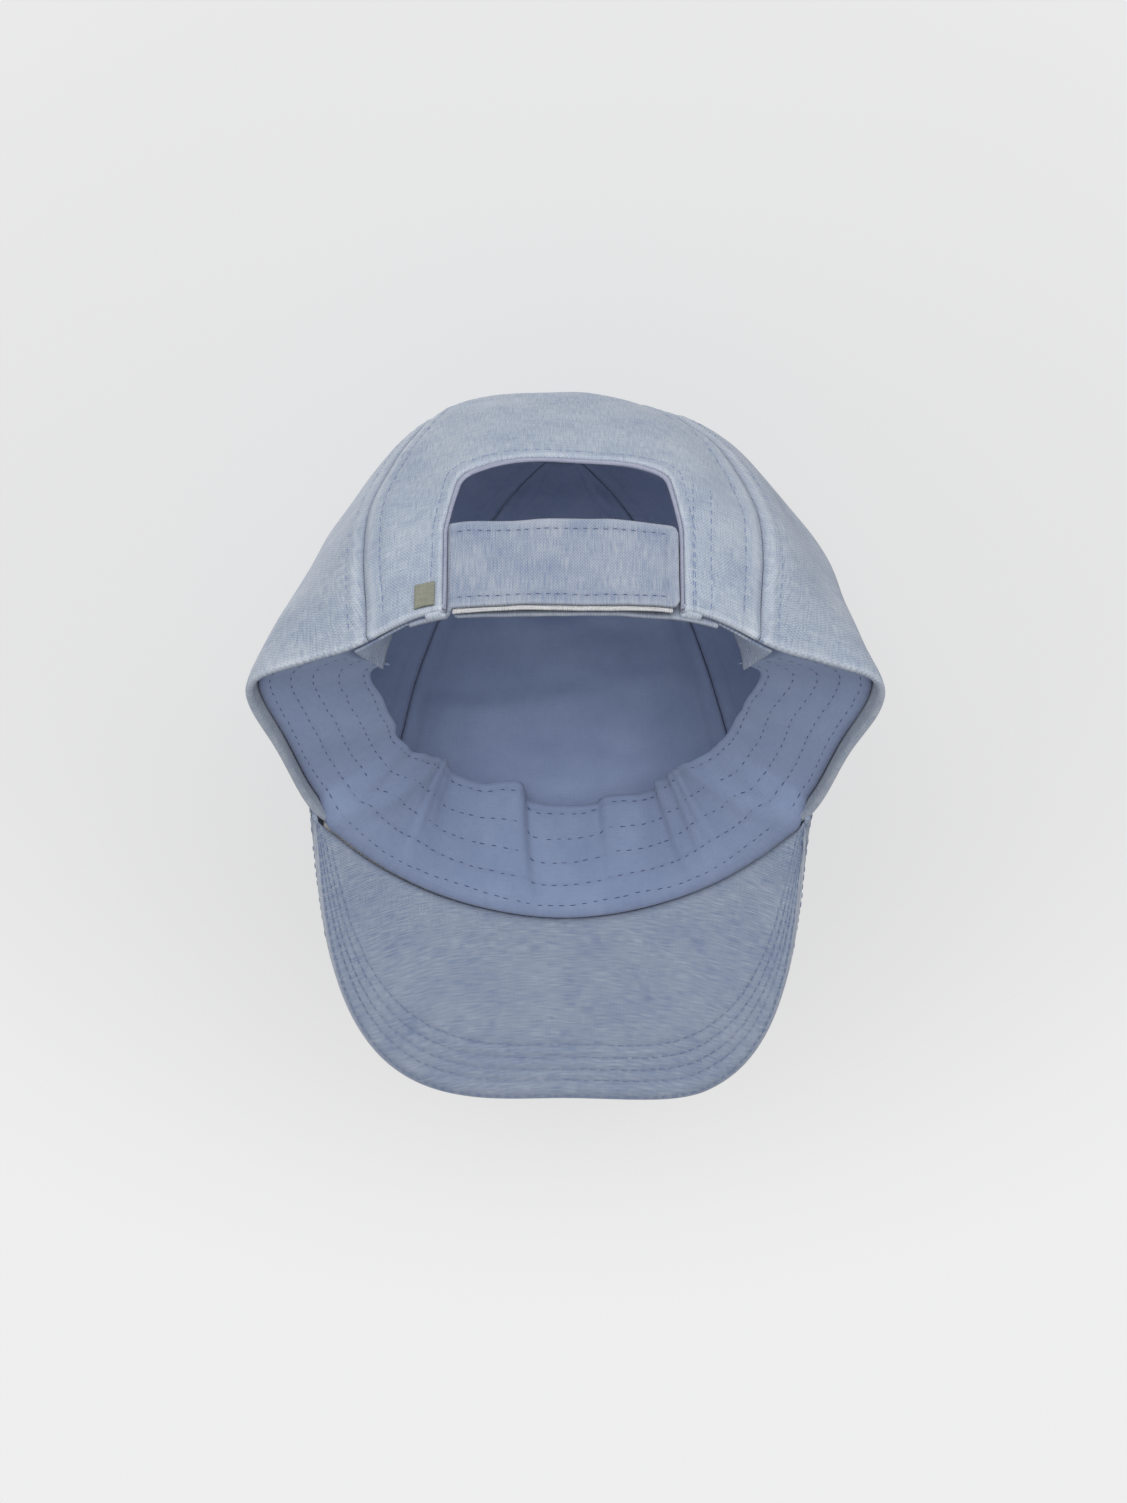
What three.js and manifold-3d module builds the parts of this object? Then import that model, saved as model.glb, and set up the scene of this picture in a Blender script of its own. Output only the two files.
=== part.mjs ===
// A child's soft baseball cap: four crown panels, lining, sweatband, stiffened visor and a
// hook-and-loop strap across the rear arch.  Millimetres, +Z up, visor towards -Y.
// The cap stands on the back of its rim and on the two low sides of its visor (z = 0).
import * as THREE from 'three';
import * as BufferGeometryUtils from 'three/addons/utils/BufferGeometryUtils.js';
import Module from 'manifold-3d';

// ---------- driving dimensions ----------
const GAP = 0.3;                    // between neighbouring pieces
const DEG = Math.PI / 180;
// head opening: a rounded polygon, [direction of the edge's normal, distance], right half
const RIM = [[0, 71], [32, 79.3], [102, 78], [134.7, 72.6], [180, 76.3]];
const RIM_SHARP = 20;               // larger is a sharper corner
const CROWN_H = 115;                // crown height above the rim's plane
const APEX_Y = 6.2;                 // how far back the button sits
const ROUND = { back: 81, front: 72.6, side: 85.5, n: 2.55, at: 26 };
const RHO = 0.83, RISE = 1.13;      // fullness of the dome
const TILT = 8.5 * DEG;              // the crown leans back when the cap rests on its visor
const FRONT_RAISE = 19.55;          // height of the rim at the front when it rests
const BACK_SEAM = 41.5, FRONT_SEAM = 137;
const TIP = 87;                     // panels stop here, under the button
const PANEL_T = 1.0, LINING_T = 0.6, BAND_T = 0.7;
const ARCH = { half: 32, top: 28.5, h: 51, r: 10 };
const STRAP = { z0: 0.9, z1: 25.9, x: 29.7, t: 1.4 };
const VISOR = { corner: 107, half: 72, depth: 120.5, n: 2.8, droop: 0.26, board: 1.8, cover: 0.9 };
const NU = 16, NV = 14;             // one grid for every crown layer, so that the layers stay parallel
const BAND_END = BACK_SEAM + (FRONT_SEAM - BACK_SEAM) / NU;   // the sweatband's two ends
const BAND_TOP = 3 * TIP / NV;      // and its free upper edge, both on that grid

const wasm = await Module();
wasm.setup();

// ---------- shared surfaces ----------
const smooth = (x) => { const t = Math.min(1, Math.max(0, x)); return t * t * (3 - 2 * t); };
const mix = (a, b, t) => a + (b - a) * t;

function rimRadius(th) {
  let s = 0;
  for (const [a, h] of RIM) {
    const signs = a === 0 || a === 180 ? [1] : [1, -1];
    for (const sg of signs) s += Math.max(0, Math.cos(th - sg * a * DEG) / h) ** RIM_SHARP;
  }
  return s ** (-1 / RIM_SHARP);
}

function rimHeight(th) {            // flat across the back, rising to the front
  const a = Math.abs(Math.atan2(Math.sin(th), Math.cos(th))) / DEG;
  const t = (a - 45) / 135, e = 0.06;
  const r = (t + Math.sqrt(t * t + e * e)) / 2 - e * 0.25;
  const q = Math.min(1, Math.max(0, r));
  return a < BACK_SEAM + 1 ? 0 : FRONT_RAISE * (1 - (1 - q) ** 2) * smooth((a - 42) / 12);
}

function tilt(x, y, z) {            // about the bottom of the back rim
  const dy = y - RIM[0][1];
  return [x, RIM[0][1] + dy * Math.cos(TILT) + z * Math.sin(TILT), -dy * Math.sin(TILT) + z * Math.cos(TILT)];
}

function crownRaw(th, ph) {         // th from the back (+Y) towards +X, ph from rim to button
  const c = Math.cos(th), s = Math.sin(th), m = smooth(ph / (ROUND.at * DEG));
  const b = c > 0 ? ROUND.back : ROUND.front;
  const round = (Math.abs(c / b) ** ROUND.n + Math.abs(s / ROUND.side) ** ROUND.n) ** (-1 / ROUND.n);
  const r = mix(rimRadius(th), round, m), rho = Math.max(0, Math.cos(ph)) ** RHO;
  const sp = Math.max(0, Math.sin(ph));
  const p = tilt(r * s * rho, APEX_Y * (1 - rho) + r * c * rho, CROWN_H * sp ** RISE);
  const p0 = tilt(rimRadius(th) * s, rimRadius(th) * c, 0);
  p[2] += (rimHeight(th) - p0[2]) * (1 - sp) ** 2;
  return new THREE.Vector3(...p);
}

function crown(th, ph, off) {       // off is the distance outside the outer face
  const e = 1e-3, p = crownRaw(th, ph);
  const a = crownRaw(th + e, ph).sub(crownRaw(th - e, ph));
  const b = crownRaw(th, ph + e).sub(crownRaw(th, Math.max(0, ph - e)));
  const n = b.cross(a);
  n.z *= smooth(ph / (6 * DEG));    // the bottom edge stays level through the thickness
  return p.add(n.normalize().multiplyScalar(off));
}

const phAt = (h) => Math.asin((h / CROWN_H) ** (1 / RISE));

// a closed slab: cells nu by nv, f(u, v, w) gives the point, w = 1 is the outer face
function slab(nu, nv, f) {
  const g = new THREE.BoxGeometry(1, 1, 1, nu, nv, 1), p = g.attributes.position;
  for (let i = 0; i < p.count; i++) {
    const q = f(p.getX(i) + 0.5, p.getY(i) + 0.5, p.getZ(i) + 0.5);
    p.setXYZ(i, q.x, q.y, q.z);
  }
  g.computeVertexNormals();
  return g;
}

function toManifold(g) {
  const bare = new THREE.BufferGeometry();
  bare.setAttribute('position', g.attributes.position);
  bare.setIndex(g.index);
  const m = BufferGeometryUtils.mergeVertices(bare, 1e-5);
  return new wasm.Manifold(new wasm.Mesh({
    numProp: 3, vertProperties: new Float32Array(m.attributes.position.array),
    triVerts: new Uint32Array(m.index.array),
  }));
}

function fromManifold(m) {
  const mesh = m.getMesh(), g = new THREE.BufferGeometry();
  g.setAttribute('position', new THREE.BufferAttribute(new Float32Array(mesh.vertProperties), 3));
  g.setIndex(new THREE.BufferAttribute(new Uint32Array(mesh.triVerts), 1));
  g.computeVertexNormals();
  return g;
}

// ---------- crown pieces ----------
function shell(a, b, outer, t, lo = 0) {
  return slab(NU, NV, (u, v, w) => {
    const ph = Math.max(lo, TIP * v) * DEG;
    const mid = crownRaw((a + b) / 2 * DEG, ph), top = crownRaw(0, 89.9 * DEG);
    const r = Math.max(4, Math.hypot(mid.x - top.x, mid.y - top.y));
    const g = GAP / 2 / r;
    const th = mix(b * DEG - g, a * DEG + g, u);
    const ease = outer < 0 ? 0.5 * (1 - smooth((ph / DEG - 28) / 20)) : 0;
    return crown(th, ph, outer - ease - t * (1 - w));
  });
}

function archCutter() {             // the rear opening, seen from behind
  const { half, top, h, r } = ARCH, s = new THREE.Shape();
  s.moveTo(-half, -6); s.lineTo(half, -6); s.lineTo(half, 26); s.lineTo(top + 0.8, h - r);
  s.quadraticCurveTo(top - 0.5, h - 1.5, top - r, h - 0.8);
  s.quadraticCurveTo(0, h + 2.4, -top + r, h - 0.8);
  s.quadraticCurveTo(-top + 0.5, h - 1.5, -top - 0.8, h - r); s.lineTo(-half, 26);
  s.closePath();
  const g = new THREE.ExtrudeGeometry(s, { depth: 90, bevelEnabled: false, curveSegments: 8 });
  g.rotateX(Math.PI / 2); g.translate(0, 130, 0);
  return g;
}

function cutArch(g) {
  return fromManifold(toManifold(g).subtract(toManifold(archCutter())));
}

function panels() {
  const f = (a, b) => shell(a, b, 0, PANEL_T);
  return {
    front_panel: f(FRONT_SEAM, 360 - FRONT_SEAM),
    left_side_panel: f(BACK_SEAM, FRONT_SEAM),
    right_side_panel: f(-FRONT_SEAM, -BACK_SEAM),
    back_panel: cutArch(f(-BACK_SEAM, BACK_SEAM)),
  };
}

function linings() {
  const f = (a, b) => shell(a, b, -PANEL_T - GAP, LINING_T, 0.5);
  return {
    front_lining: f(FRONT_SEAM, 360 - FRONT_SEAM),
    left_side_lining: f(BACK_SEAM, FRONT_SEAM),
    right_side_lining: f(-FRONT_SEAM, -BACK_SEAM),
    back_lining: cutArch(f(-BACK_SEAM, BACK_SEAM)),
  };
}

// direction of grid line k, counted from the sweatband's left end round the front
function bandTheta(k) {
  const side = (FRONT_SEAM - BACK_SEAM) / NU, front = (360 - 2 * FRONT_SEAM) / NU, n = NU - 1;
  if (k <= n) return BAND_END + side * k;
  if (k <= n + NU) return FRONT_SEAM + front * (k - n);
  return 360 - FRONT_SEAM + side * (k - n - NU);
}

// the free upper edge of the band falls inwards: most at the sides, less at the front and at its two ends
const around = (th) => Math.abs(Math.atan2(Math.sin(th), Math.cos(th))) / DEG;
const fall = (th) => smooth((168 - around(th)) / 46) * smooth((around(th) - 27) / 44);
const lean = (th) => 5 + 19 * fall(th);
const climb = (th) => 1 - 0.42 * fall(th);

function inwards(p, d) {             // moves a point level towards the middle of the head opening
  const r = Math.hypot(p.x, p.y - 4);
  return new THREE.Vector3(p.x - p.x / r * d, p.y - (p.y - 4) / r * d, p.z);
}

function bandPoint(th, v, off) {    // v from the rim to the free edge
  return inwards(crown(th, Math.max(0.6, BAND_TOP * v * climb(th)) * DEG, off), lean(th) * v);
}

function sweatband() {
  const n = 3 * NU - 2;
  return slab(n, 3, (u, v, w) => {
    const th = bandTheta(Math.round(n * (1 - u))) * DEG;
    return bandPoint(th, v, -4.6 - BAND_T * (1 - w));
  });
}

function interlining() {
  const n = 3 * NU - 4;
  return slab(n, 2, (u, v, w) => {
    const th = bandTheta(1 + Math.round(n * (1 - u))) * DEG;
    return bandPoint(th, v * 2 / 3, -2.6 - 0.6 * (1 - w));
  });
}

// the folded end of the outer cloth beside the rear opening: upright beside the arch, its front flopped inwards
const FLOP = { from: 33, to: 58, reach: 22 };

function facing(side) {
  const a = side > 0 ? 25.5 : -BAND_END + 0.5, b = side > 0 ? BAND_END - 0.5 : -25.5;
  return slab(6, 4, (u, v, w) => {
    const th = mix(b, a, u) * DEG;
    const x = Math.max(0, (around(th) - FLOP.from) / (FLOP.to - FLOP.from));
    const p = crown(th, mix(0.6, BAND_TOP * (0.95 - 0.6 * x), v) * DEG, -3.9 - 4 * v * v - BAND_T * (1 - w));
    return inwards(p, FLOP.reach * x ** 0.75 * v);
  });
}

// ---------- rear closure ----------
// the crown's surface parameters at a given x and z on the back
function backAt(x, z) {
  let th = Math.atan2(x, 74), ph = phAt(Math.max(z, 0.01));
  for (let i = 0; i < 12; i++) {
    const p = crownRaw(th, ph), e = 1e-3;
    const a = crownRaw(th + e, ph), b = crownRaw(th, ph + e);
    const j = [(a.x - p.x) / e, (b.x - p.x) / e, (a.z - p.z) / e, (b.z - p.z) / e];
    const d = j[0] * j[3] - j[1] * j[2], dx = x - p.x, dz = z - p.z;
    th += (dx * j[3] - dz * j[1]) / d;
    ph = Math.max(1e-4, ph + (dz * j[0] - dx * j[2]) / d);
  }
  return [th, ph];
}

function strip(x0, x1, z0, z1, outer, t, nu = 14) {
  return slab(nu, 2, (u, v, w) => {
    const [th, ph] = backAt(mix(x1, x0, u), mix(z0, z1, v));
    return crown(th, ph, outer - t * (1 - w));
  });
}

function openingBinding() {         // narrow lip that finishes the arch's cut edge
  const { half, top, h, r } = ARCH, i = GAP + 0.1, pts = [];
  const c = new THREE.CurvePath(), V = (x, z) => new THREE.Vector2(x, z);
  c.add(new THREE.LineCurve(V(half - i, 0.4), V(half - i, 26)));
  c.add(new THREE.LineCurve(V(half - i, 26), V(top + 0.8 - i, h - r)));
  c.add(new THREE.QuadraticBezierCurve(V(top + 0.8 - i, h - r), V(top - 0.5 - i, h - 1.5 - i),
    V(top - r, h - 0.8 - i)));
  c.add(new THREE.QuadraticBezierCurve(V(top - r, h - 0.8 - i), V(top * 0.4, h + 0.75 - i),
    V(0, h + 0.75 - i)));
  for (let k = 0; k <= 22; k++) pts.push(c.getPoint(k / 22));
  const line = [...pts, ...pts.slice(0, -1).reverse().map((p) => V(-p.x, p.y))];
  const n = line.length - 1;
  return slab(n, 1, (u, v, w) => {
    const k = Math.round(u * n), p = line[k];
    const q = line[Math.min(n, k + 1)].clone().sub(line[Math.max(0, k - 1)]).normalize();
    const d = 1 - v;                // towards the middle of the opening
    const [th, ph] = backAt(p.x - q.y * d, p.y + q.x * d);
    return crown(th, ph, 0.35 - 2.3 * (1 - w));
  });
}

function closure() {
  const { z0, z1, x, t } = STRAP;
  return {
    closure_strap: strip(-x, x, z0, z1, 0.6, t),
    closure_hook_tape: strip(-x + 1.5, x - 4, z0 - 0.4, z1 - 4, -1.1, 0.7),
    loop_tape: strip(-x + 4, x - 1.5, z0 + 1.5, z1 - 3, -2.1, 0.7),
    loop_tab: strip(-x, x, z0 - 0.3, z1 - 1.5, -3.1, 0.9),
    strap_root: strip(x + 3, x + 13, z0, z1, -2.7, 0.8, 3),
    tab_root: strip(-x - 13, -x - 3, z0 + 0.4, z1 - 1.5, -2.7, 0.8, 3),
    side_tag: strip(34.6, 40.2, 3.2, 10.4, 0.75, 0.45, 3),
    opening_binding: openingBinding(),
  };
}

// ---------- button ----------
function lathe(profile, seg = 28) {
  const g = new THREE.LatheGeometry(profile.map(([r, z]) => new THREE.Vector2(r, z)), seg);
  g.rotateX(Math.PI / 2);
  return g;
}

function atApex(g) {
  const top = tilt(0, APEX_Y, CROWN_H);
  g.rotateX(-TILT); g.translate(top[0], top[1], top[2]);
  return g;
}

function button() {
  const p = [[0, 0.3], [6.6, 0.3], [7.4, 0.8], [7.5, 1.6], [6.9, 2.8], [5.2, 3.9], [2.8, 4.5], [0, 4.7]];
  return atApex(lathe(p));
}

function rivet() {
  const p = [[0, -3.3], [5.0, -3.3], [5.2, -2.9], [5.0, -2.5], [1.4, -2.3], [1.2, 0], [0, 0]];
  return atApex(lathe(p));
}

// ---------- visor ----------
function visorAt(u, v, off) {
  const corner = VISOR.corner * DEG;
  const th = Math.PI - (Math.PI - corner) * u;
  const s = crown(th, 0.4 * DEG, GAP + 0.4);
  const c = crown(corner, 0.4 * DEG, GAP + 0.2), f = crown(Math.PI, 0.4 * DEG, GAP + 0.2);
  const t = u * Math.PI / 2, e = 2 / VISOR.n;
  const ox = VISOR.half * Math.sign(t) * Math.abs(Math.sin(t)) ** e;
  const oy = c.y - VISOR.depth * Math.max(0, Math.cos(t)) ** e;
  const x = mix(s.x, ox, v), y = mix(s.y, oy, v), lift = 2.3;
  const bend = (f.z + VISOR.droop * (c.y - f.y) - c.z) / (c.x * c.x);
  const height = (px, py) => f.z + lift + VISOR.droop * (py - f.y) - bend * px * px;
  const dz = (s.z + lift - height(s.x, s.y)) * (1 - v) ** 2;
  const k = smooth(v * 7), n = new THREE.Vector3(2 * bend * x * k, -VISOR.droop * k, 1).normalize();
  return new THREE.Vector3(x, y, height(x, y) + dz).add(n.multiplyScalar(off));
}

function visorLayer(lo, hi, reach, turn) {
  const clip = reach < 1 ? 0.93 : 0.985;
  return slab(32, 9, (u, v, w) => {
    const a = mix(clip, -clip, u);
    const inner = Math.min(0.05, 1.2 / Math.max(4, visorAt(a, 1, 0).distanceTo(visorAt(a, 0, 0))));
    const vv = mix(reach < 1 ? inner : 0, reach, v);
    const edge = turn ? mix(1, 0.14, smooth((vv - 0.93) / 0.07)) : 1;
    return visorAt(a, vv, mix(lo, hi, w) * edge);
  });
}

function flip(g) {                  // turn a slab whose mapping is mirrored the right way out
  const i = g.index.array;
  for (let k = 0; k < i.length; k += 3) [i[k], i[k + 1]] = [i[k + 1], i[k]];
  g.computeVertexNormals();
  return g;
}

function visor() {
  const b = VISOR.board / 2, c = VISOR.cover;
  return {
    visor_top_cover: visorLayer(b + GAP, b + GAP + c, 1, true),
    visor_board: visorLayer(-b, b, 0.9, false),
    visor_under_cover: visorLayer(-b - GAP - c, -b - GAP, 1, true),
  };
}

// ---------- assembly ----------
const CLOTH = 0x9fb2cc, SHADE = 0x8798b8, LINING = 0x7684a8, TAPE = 0xe9ecef, TAG = 0x7d8272;
const COLOURS = {
  front_lining: LINING, left_side_lining: LINING, right_side_lining: LINING, back_lining: LINING,
  sweatband: LINING, sweatband_interlining: 0xd8dade, closure_hook_tape: TAPE, loop_tape: TAPE,
  side_tag: TAG, button_rivet: 0xb8bcc2, visor_board: 0xf0f0ec, visor_under_cover: SHADE,
};

const root = new THREE.Group();
function add(name, g) {
  const colour = COLOURS[name] ?? CLOTH, metal = name === 'button_rivet';
  const m = new THREE.MeshStandardMaterial({
    color: colour, roughness: metal ? 0.35 : 0.9, metalness: metal ? 1 : 0,
  });
  m.name = name;
  const mesh = new THREE.Mesh(g, m);
  mesh.name = name;
  root.add(mesh);
}

for (const [name, g] of Object.entries({
  ...panels(), ...linings(), sweatband: sweatband(), sweatband_interlining: interlining(),
  left_rear_facing: facing(1), right_rear_facing: facing(-1), ...closure(),
  top_button: button(), button_rivet: rivet(), ...visor(),
})) add(name, g);

export default root;
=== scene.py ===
# %% [markdown]
# # A child's soft chambray cap
# The cap is four crown panels, a lining, a sweatband, a stiffened visor and a hook-and-loop
# strap across an arched gap at the back.  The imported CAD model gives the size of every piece.
# Here each cloth piece is made again as a thin sheet with folds, seams and stitches.
# Shapes are worked out in millimetres, because that is how a maker thinks of a cap, and
# divided by 1000 as they become meshes.

# %% load the fixed frame
import bpy, bmesh, math
import numpy as np
from mathutils import Vector, Matrix, noise


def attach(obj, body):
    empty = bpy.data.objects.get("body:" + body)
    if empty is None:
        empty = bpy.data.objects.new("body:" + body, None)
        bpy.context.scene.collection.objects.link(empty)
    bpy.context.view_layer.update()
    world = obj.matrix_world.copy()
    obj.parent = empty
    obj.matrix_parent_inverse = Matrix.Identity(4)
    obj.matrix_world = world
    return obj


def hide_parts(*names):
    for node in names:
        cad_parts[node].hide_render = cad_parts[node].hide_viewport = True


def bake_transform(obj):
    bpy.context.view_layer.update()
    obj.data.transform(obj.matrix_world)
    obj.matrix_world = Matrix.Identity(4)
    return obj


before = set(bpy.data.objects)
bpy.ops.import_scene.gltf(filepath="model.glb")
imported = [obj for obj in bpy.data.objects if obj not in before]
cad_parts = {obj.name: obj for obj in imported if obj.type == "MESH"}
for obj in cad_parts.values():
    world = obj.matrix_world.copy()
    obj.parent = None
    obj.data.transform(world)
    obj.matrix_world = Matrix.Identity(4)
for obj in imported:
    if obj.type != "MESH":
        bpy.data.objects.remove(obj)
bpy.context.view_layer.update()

# %% [markdown]
# ## The camera
# The cap lies on its crown on a table and is seen from straight above the table, so in the
# cap's own upright frame the camera is behind it and below.  A long lens at about a metre
# keeps the near rim only a little larger than the far visor.

# %% camera
DEG = math.pi / 180
LOOK_UP = 45.6 * DEG                      # how far below the horizon the camera sits
MIDDLE = np.array([0.0, -3.2, 51.5])      # a point inside the crown, mm
TOWARDS = np.array([0, math.cos(LOOK_UP), -math.sin(LOOK_UP)])
ABOVE = np.array([0, math.sin(LOOK_UP), math.cos(LOOK_UP)])

cam_data = bpy.data.cameras.new("camera")
cam_data.sensor_width, cam_data.lens = 36, 77.4
cam = bpy.data.objects.new("camera", cam_data)
bpy.context.scene.collection.objects.link(cam)
eye = MIDDLE + TOWARDS * 950
aim = MIDDLE - ABOVE * 23
cam.location = Vector(eye / 1000)
# the picture's top is the back of the cap
forward = Vector((aim - eye) / 1000).normalized()
side = forward.cross(Vector(ABOVE)).normalized()
top = side.cross(forward)
cam.rotation_euler = Matrix((side, top, -forward)).transposed().to_euler()
cam_data.clip_start, cam_data.clip_end = 0.05, 30
bpy.context.scene.camera = cam
print("camera at", [round(x, 3) for x in cam.location])

# %% [markdown]
# ## The cap's surfaces
# One formula gives the outside of the crown.  `th` goes round from the back towards the
# wearer's left, `ph` climbs from the rim to the button, and `off` steps out from the outer
# face.  The rim is a rounded polygon with a soft corner at each side, where the cloth
# flares.  The crown leans back a little, because the cap rests on its visor.

# %% crown formula
RIM = [(0, 71), (32, 79.3), (102, 78), (134.7, 72.6), (180, 76.3)]
RIM_SHARP, CROWN_H, APEX_Y, TILT = 20, 115, 6.2, 8.5 * DEG
ROUND = dict(back=81, front=72.6, side=85.5, n=2.55, at=26)
RHO, RISE, FRONT_RAISE = 0.83, 1.13, 19.55
BACK_SEAM, FRONT_SEAM, TIP = 41.5, 137.0, 87.0
LEG_LIFT = 2.6                            # the legs of the rear arch hang a little short
CLEAR_OF_RIM = LEG_LIFT + 0.8             # height above which the back has cloth everywhere


def smooth(x):
    t = np.clip(x, 0, 1)
    return t * t * (3 - 2 * t)


def polygon_radius(th):
    s = 0
    for a, h in RIM:
        for sign in ((1,) if a in (0, 180) else (1, -1)):
            s = s + np.maximum(0, np.cos(th - sign * a * DEG) / h) ** RIM_SHARP
    return s ** (-1 / RIM_SHARP)


def rim_radius(th):
    """the polygon's corners are eased where the visor is sewn on"""
    eased = np.mean([polygon_radius(th + k * DEG) for k in range(-21, 22, 6)], axis=0)
    front = smooth((np.abs(np.arctan2(np.sin(th), np.cos(th))) / DEG - 112) / 14)
    return polygon_radius(th) * (1 - front) + eased * front


def flare(th, ph):
    """the cloth stands out at the two side corners of the rim, more at the wearer's right"""
    a, up = th / DEG, np.exp(-(ph / (7 * DEG)) ** 2)
    left = np.exp(-(turn_gap(a, 71) / 11) ** 2)
    right = np.exp(-(turn_gap(a, -72) / 11) ** 2)
    return (2.2 * left + 3.4 * right) * up


def turn_gap(a, b):
    return (a - b + 180) % 360 - 180


def rim_height(th):
    a = np.abs(np.arctan2(np.sin(th), np.cos(th))) / DEG
    t = (a - 45) / 135
    q = np.clip((t + np.sqrt(t * t + 0.0036)) / 2 - 0.015, 0, 1)
    h = FRONT_RAISE * (1 - (1 - q) ** 2) * smooth((a - 42) / 12)
    return np.where(a < BACK_SEAM + 1, 0, h) + LEG_LIFT * smooth((46 - a) / 18)


def lean_back(x, y, z):
    dy = y - RIM[0][1]
    return np.stack([x, RIM[0][1] + dy * math.cos(TILT) + z * math.sin(TILT),
                     -dy * math.sin(TILT) + z * math.cos(TILT)], -1)


def crown_raw(th, ph):
    th, ph = np.broadcast_arrays(np.asarray(th, float), np.asarray(ph, float))
    c, s, m = np.cos(th), np.sin(th), smooth(ph / (ROUND["at"] * DEG))
    b, n = np.where(c > 0, ROUND["back"], ROUND["front"]), ROUND["n"]
    full = (np.abs(c / b) ** n + np.abs(s / ROUND["side"]) ** n) ** (-1 / n)
    r = rim_radius(th) * (1 - m) + full * m
    rho, sp = np.maximum(0, np.cos(ph)) ** RHO, np.maximum(0, np.sin(ph))
    p = lean_back(r * s * rho, APEX_Y * (1 - rho) + r * c * rho, CROWN_H * sp ** RISE)
    p0 = lean_back(rim_radius(th) * s, rim_radius(th) * c, 0 * th)
    p[..., 2] += (rim_height(th) - p0[..., 2]) * (1 - sp) ** 2
    return p


def crown_normal(th, ph, level=True):
    e = 1e-3
    a = crown_raw(th + e, ph) - crown_raw(th - e, ph)
    b = crown_raw(th, ph + e) - crown_raw(th, np.maximum(0, ph - e))
    n = np.cross(b, a)
    if level:
        n[..., 2] *= smooth(ph / (6 * DEG))
    return n / (np.linalg.norm(n, axis=-1, keepdims=True) + 1e-12)


def ph_at(height):
    return np.arcsin(np.clip(np.asarray(height, float) / CROWN_H, 0, 1) ** (1 / RISE))


print("rim, mm round:", round(float(np.linalg.norm(np.diff(
    crown_raw(np.linspace(0, 2 * math.pi, 400), 0), axis=0), axis=1).sum())))

# %% [markdown]
# ## Folds
# Soft cloth never keeps the clean shape.  One field of folds moves every crown layer
# together, so that the lining never cuts through the panel outside it: a slow unevenness
# from noise, a pinch along each seam, a few dents where the cloth has slumped, and none at
# the rim, which the stitched band keeps in line.

# %% fold field
SEAMS = (BACK_SEAM, FRONT_SEAM, 360 - FRONT_SEAM, 360 - BACK_SEAM)
DENTS = [  # direction, height angle, width in direction, width in height, mm outwards
    (28, 60, 12, 9, 0.8), (60, 48, 13, 12, -1.6), (68, 30, 15, 15, -3.0), (-20, 66, 12, 8, -3.4),
    (-34, 54, 12, 10, -2.4),
    (-60, 50, 12, 12, 1.2), (30, 30, 5, 12, -1.3), (-36, 30, 5, 13, -1.4), (52, 30, 7, 16, -2.0),
    (-58, 34, 7, 14, -2.2), (8, 52, 16, 4, -1.2), (-6, 58, 18, 4, 1.0), (18, 44, 5, 9, 1.1),
    (150, 30, 16, 8, -2.4), (196, 22, 22, 6, 2.0), (178, 46, 34, 7, -2.4), (205, 52, 20, 7, 1.8),
    (120, 40, 9, 18, 2.0), (240, 36, 9, 16, -2.0), (95, 40, 10, 14, -1.6), (-88, 30, 8, 12, 1.5),
    (80, 18, 10, 6, -1.4), (-78, 20, 9, 6, -1.6), (66, 24, 4, 12, 1.2), (-68, 26, 4, 12, 1.3),
]


def wave(points, size, seed):
    shift = Vector((seed * 7.3, -seed * 3.1, seed * 1.7))
    flat = points.reshape(-1, 3)
    out = [noise.noise(Vector(p) / size + shift) for p in flat]
    return np.array(out).reshape(points.shape[:-1])


def folds(th, ph):
    p = crown_raw(th, ph)
    a, b = th / DEG, ph / DEG
    grow = smooth((b - 3) / 16)
    d = 1.5 * grow * wave(p, 46, 1) + 0.6 * grow * wave(p, 17, 2)
    for at, up, wide, tall, out in DENTS:
        g = np.exp(-(turn_gap(a, at) / wide) ** 2 - ((b - up) / tall) ** 2)
        d = d + out * g * smooth((b - 2) / 10)
    across = np.cos(np.minimum(ph, 80 * DEG)) ** RHO * 82 * DEG
    for s in SEAMS:
        gap = turn_gap(a, s) * across
        sewn = smooth((b - 1) / 8) * smooth((88 - b) / 20)
        d = d - 0.8 * np.exp(-(gap / 1.9) ** 2) * sewn
        pull = np.sin(b * 0.9 + 2.4 * np.sin(b * 0.21 + s)) + 0.6 * np.sin(b * 2.1 + s)
        d = d + 0.16 * pull * np.exp(-((np.abs(gap) - 4.4) / 3.4) ** 2) * sewn
        d = d - 0.22 * np.exp(-((np.abs(gap) - 5.6) / 0.9) ** 2) * sewn
    return d + flare(th, ph)


def crown(th, ph, off=0.0):
    th, ph = np.broadcast_arrays(np.asarray(th, float), np.asarray(ph, float))
    lift = np.asarray(off, float) + folds(th, ph)
    return crown_raw(th, ph) + crown_normal(th, ph) * lift[..., None]


print("folds, mm:", np.round(folds(np.array([0.5, 3.0]), np.array([0.7, 0.8])), 2))

# %% [markdown]
# ## From a formula to a piece of cloth
# Every cloth piece starts as a flat grid, the way cloth starts flat.  `cloth` moves the
# grid's points to their places and writes the flat pattern, in metres, to the UV map, so
# that the weave keeps its true scale and grain.  A Solidify modifier then gives thickness.

# %% cloth helper
def as_piece(name, bm, finish, thick=0.0):
    mesh = bpy.data.meshes.new(name)
    bm.to_mesh(mesh)
    bm.free()
    mesh.materials.append(finish)
    mesh.shade_smooth()
    piece = bpy.data.objects.new(name, mesh)
    bpy.context.scene.collection.objects.link(piece)
    if thick:
        solid = piece.modifiers.new("thickness", "SOLIDIFY")
        solid.thickness, solid.offset = thick / 1000, -1
    return piece


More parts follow.
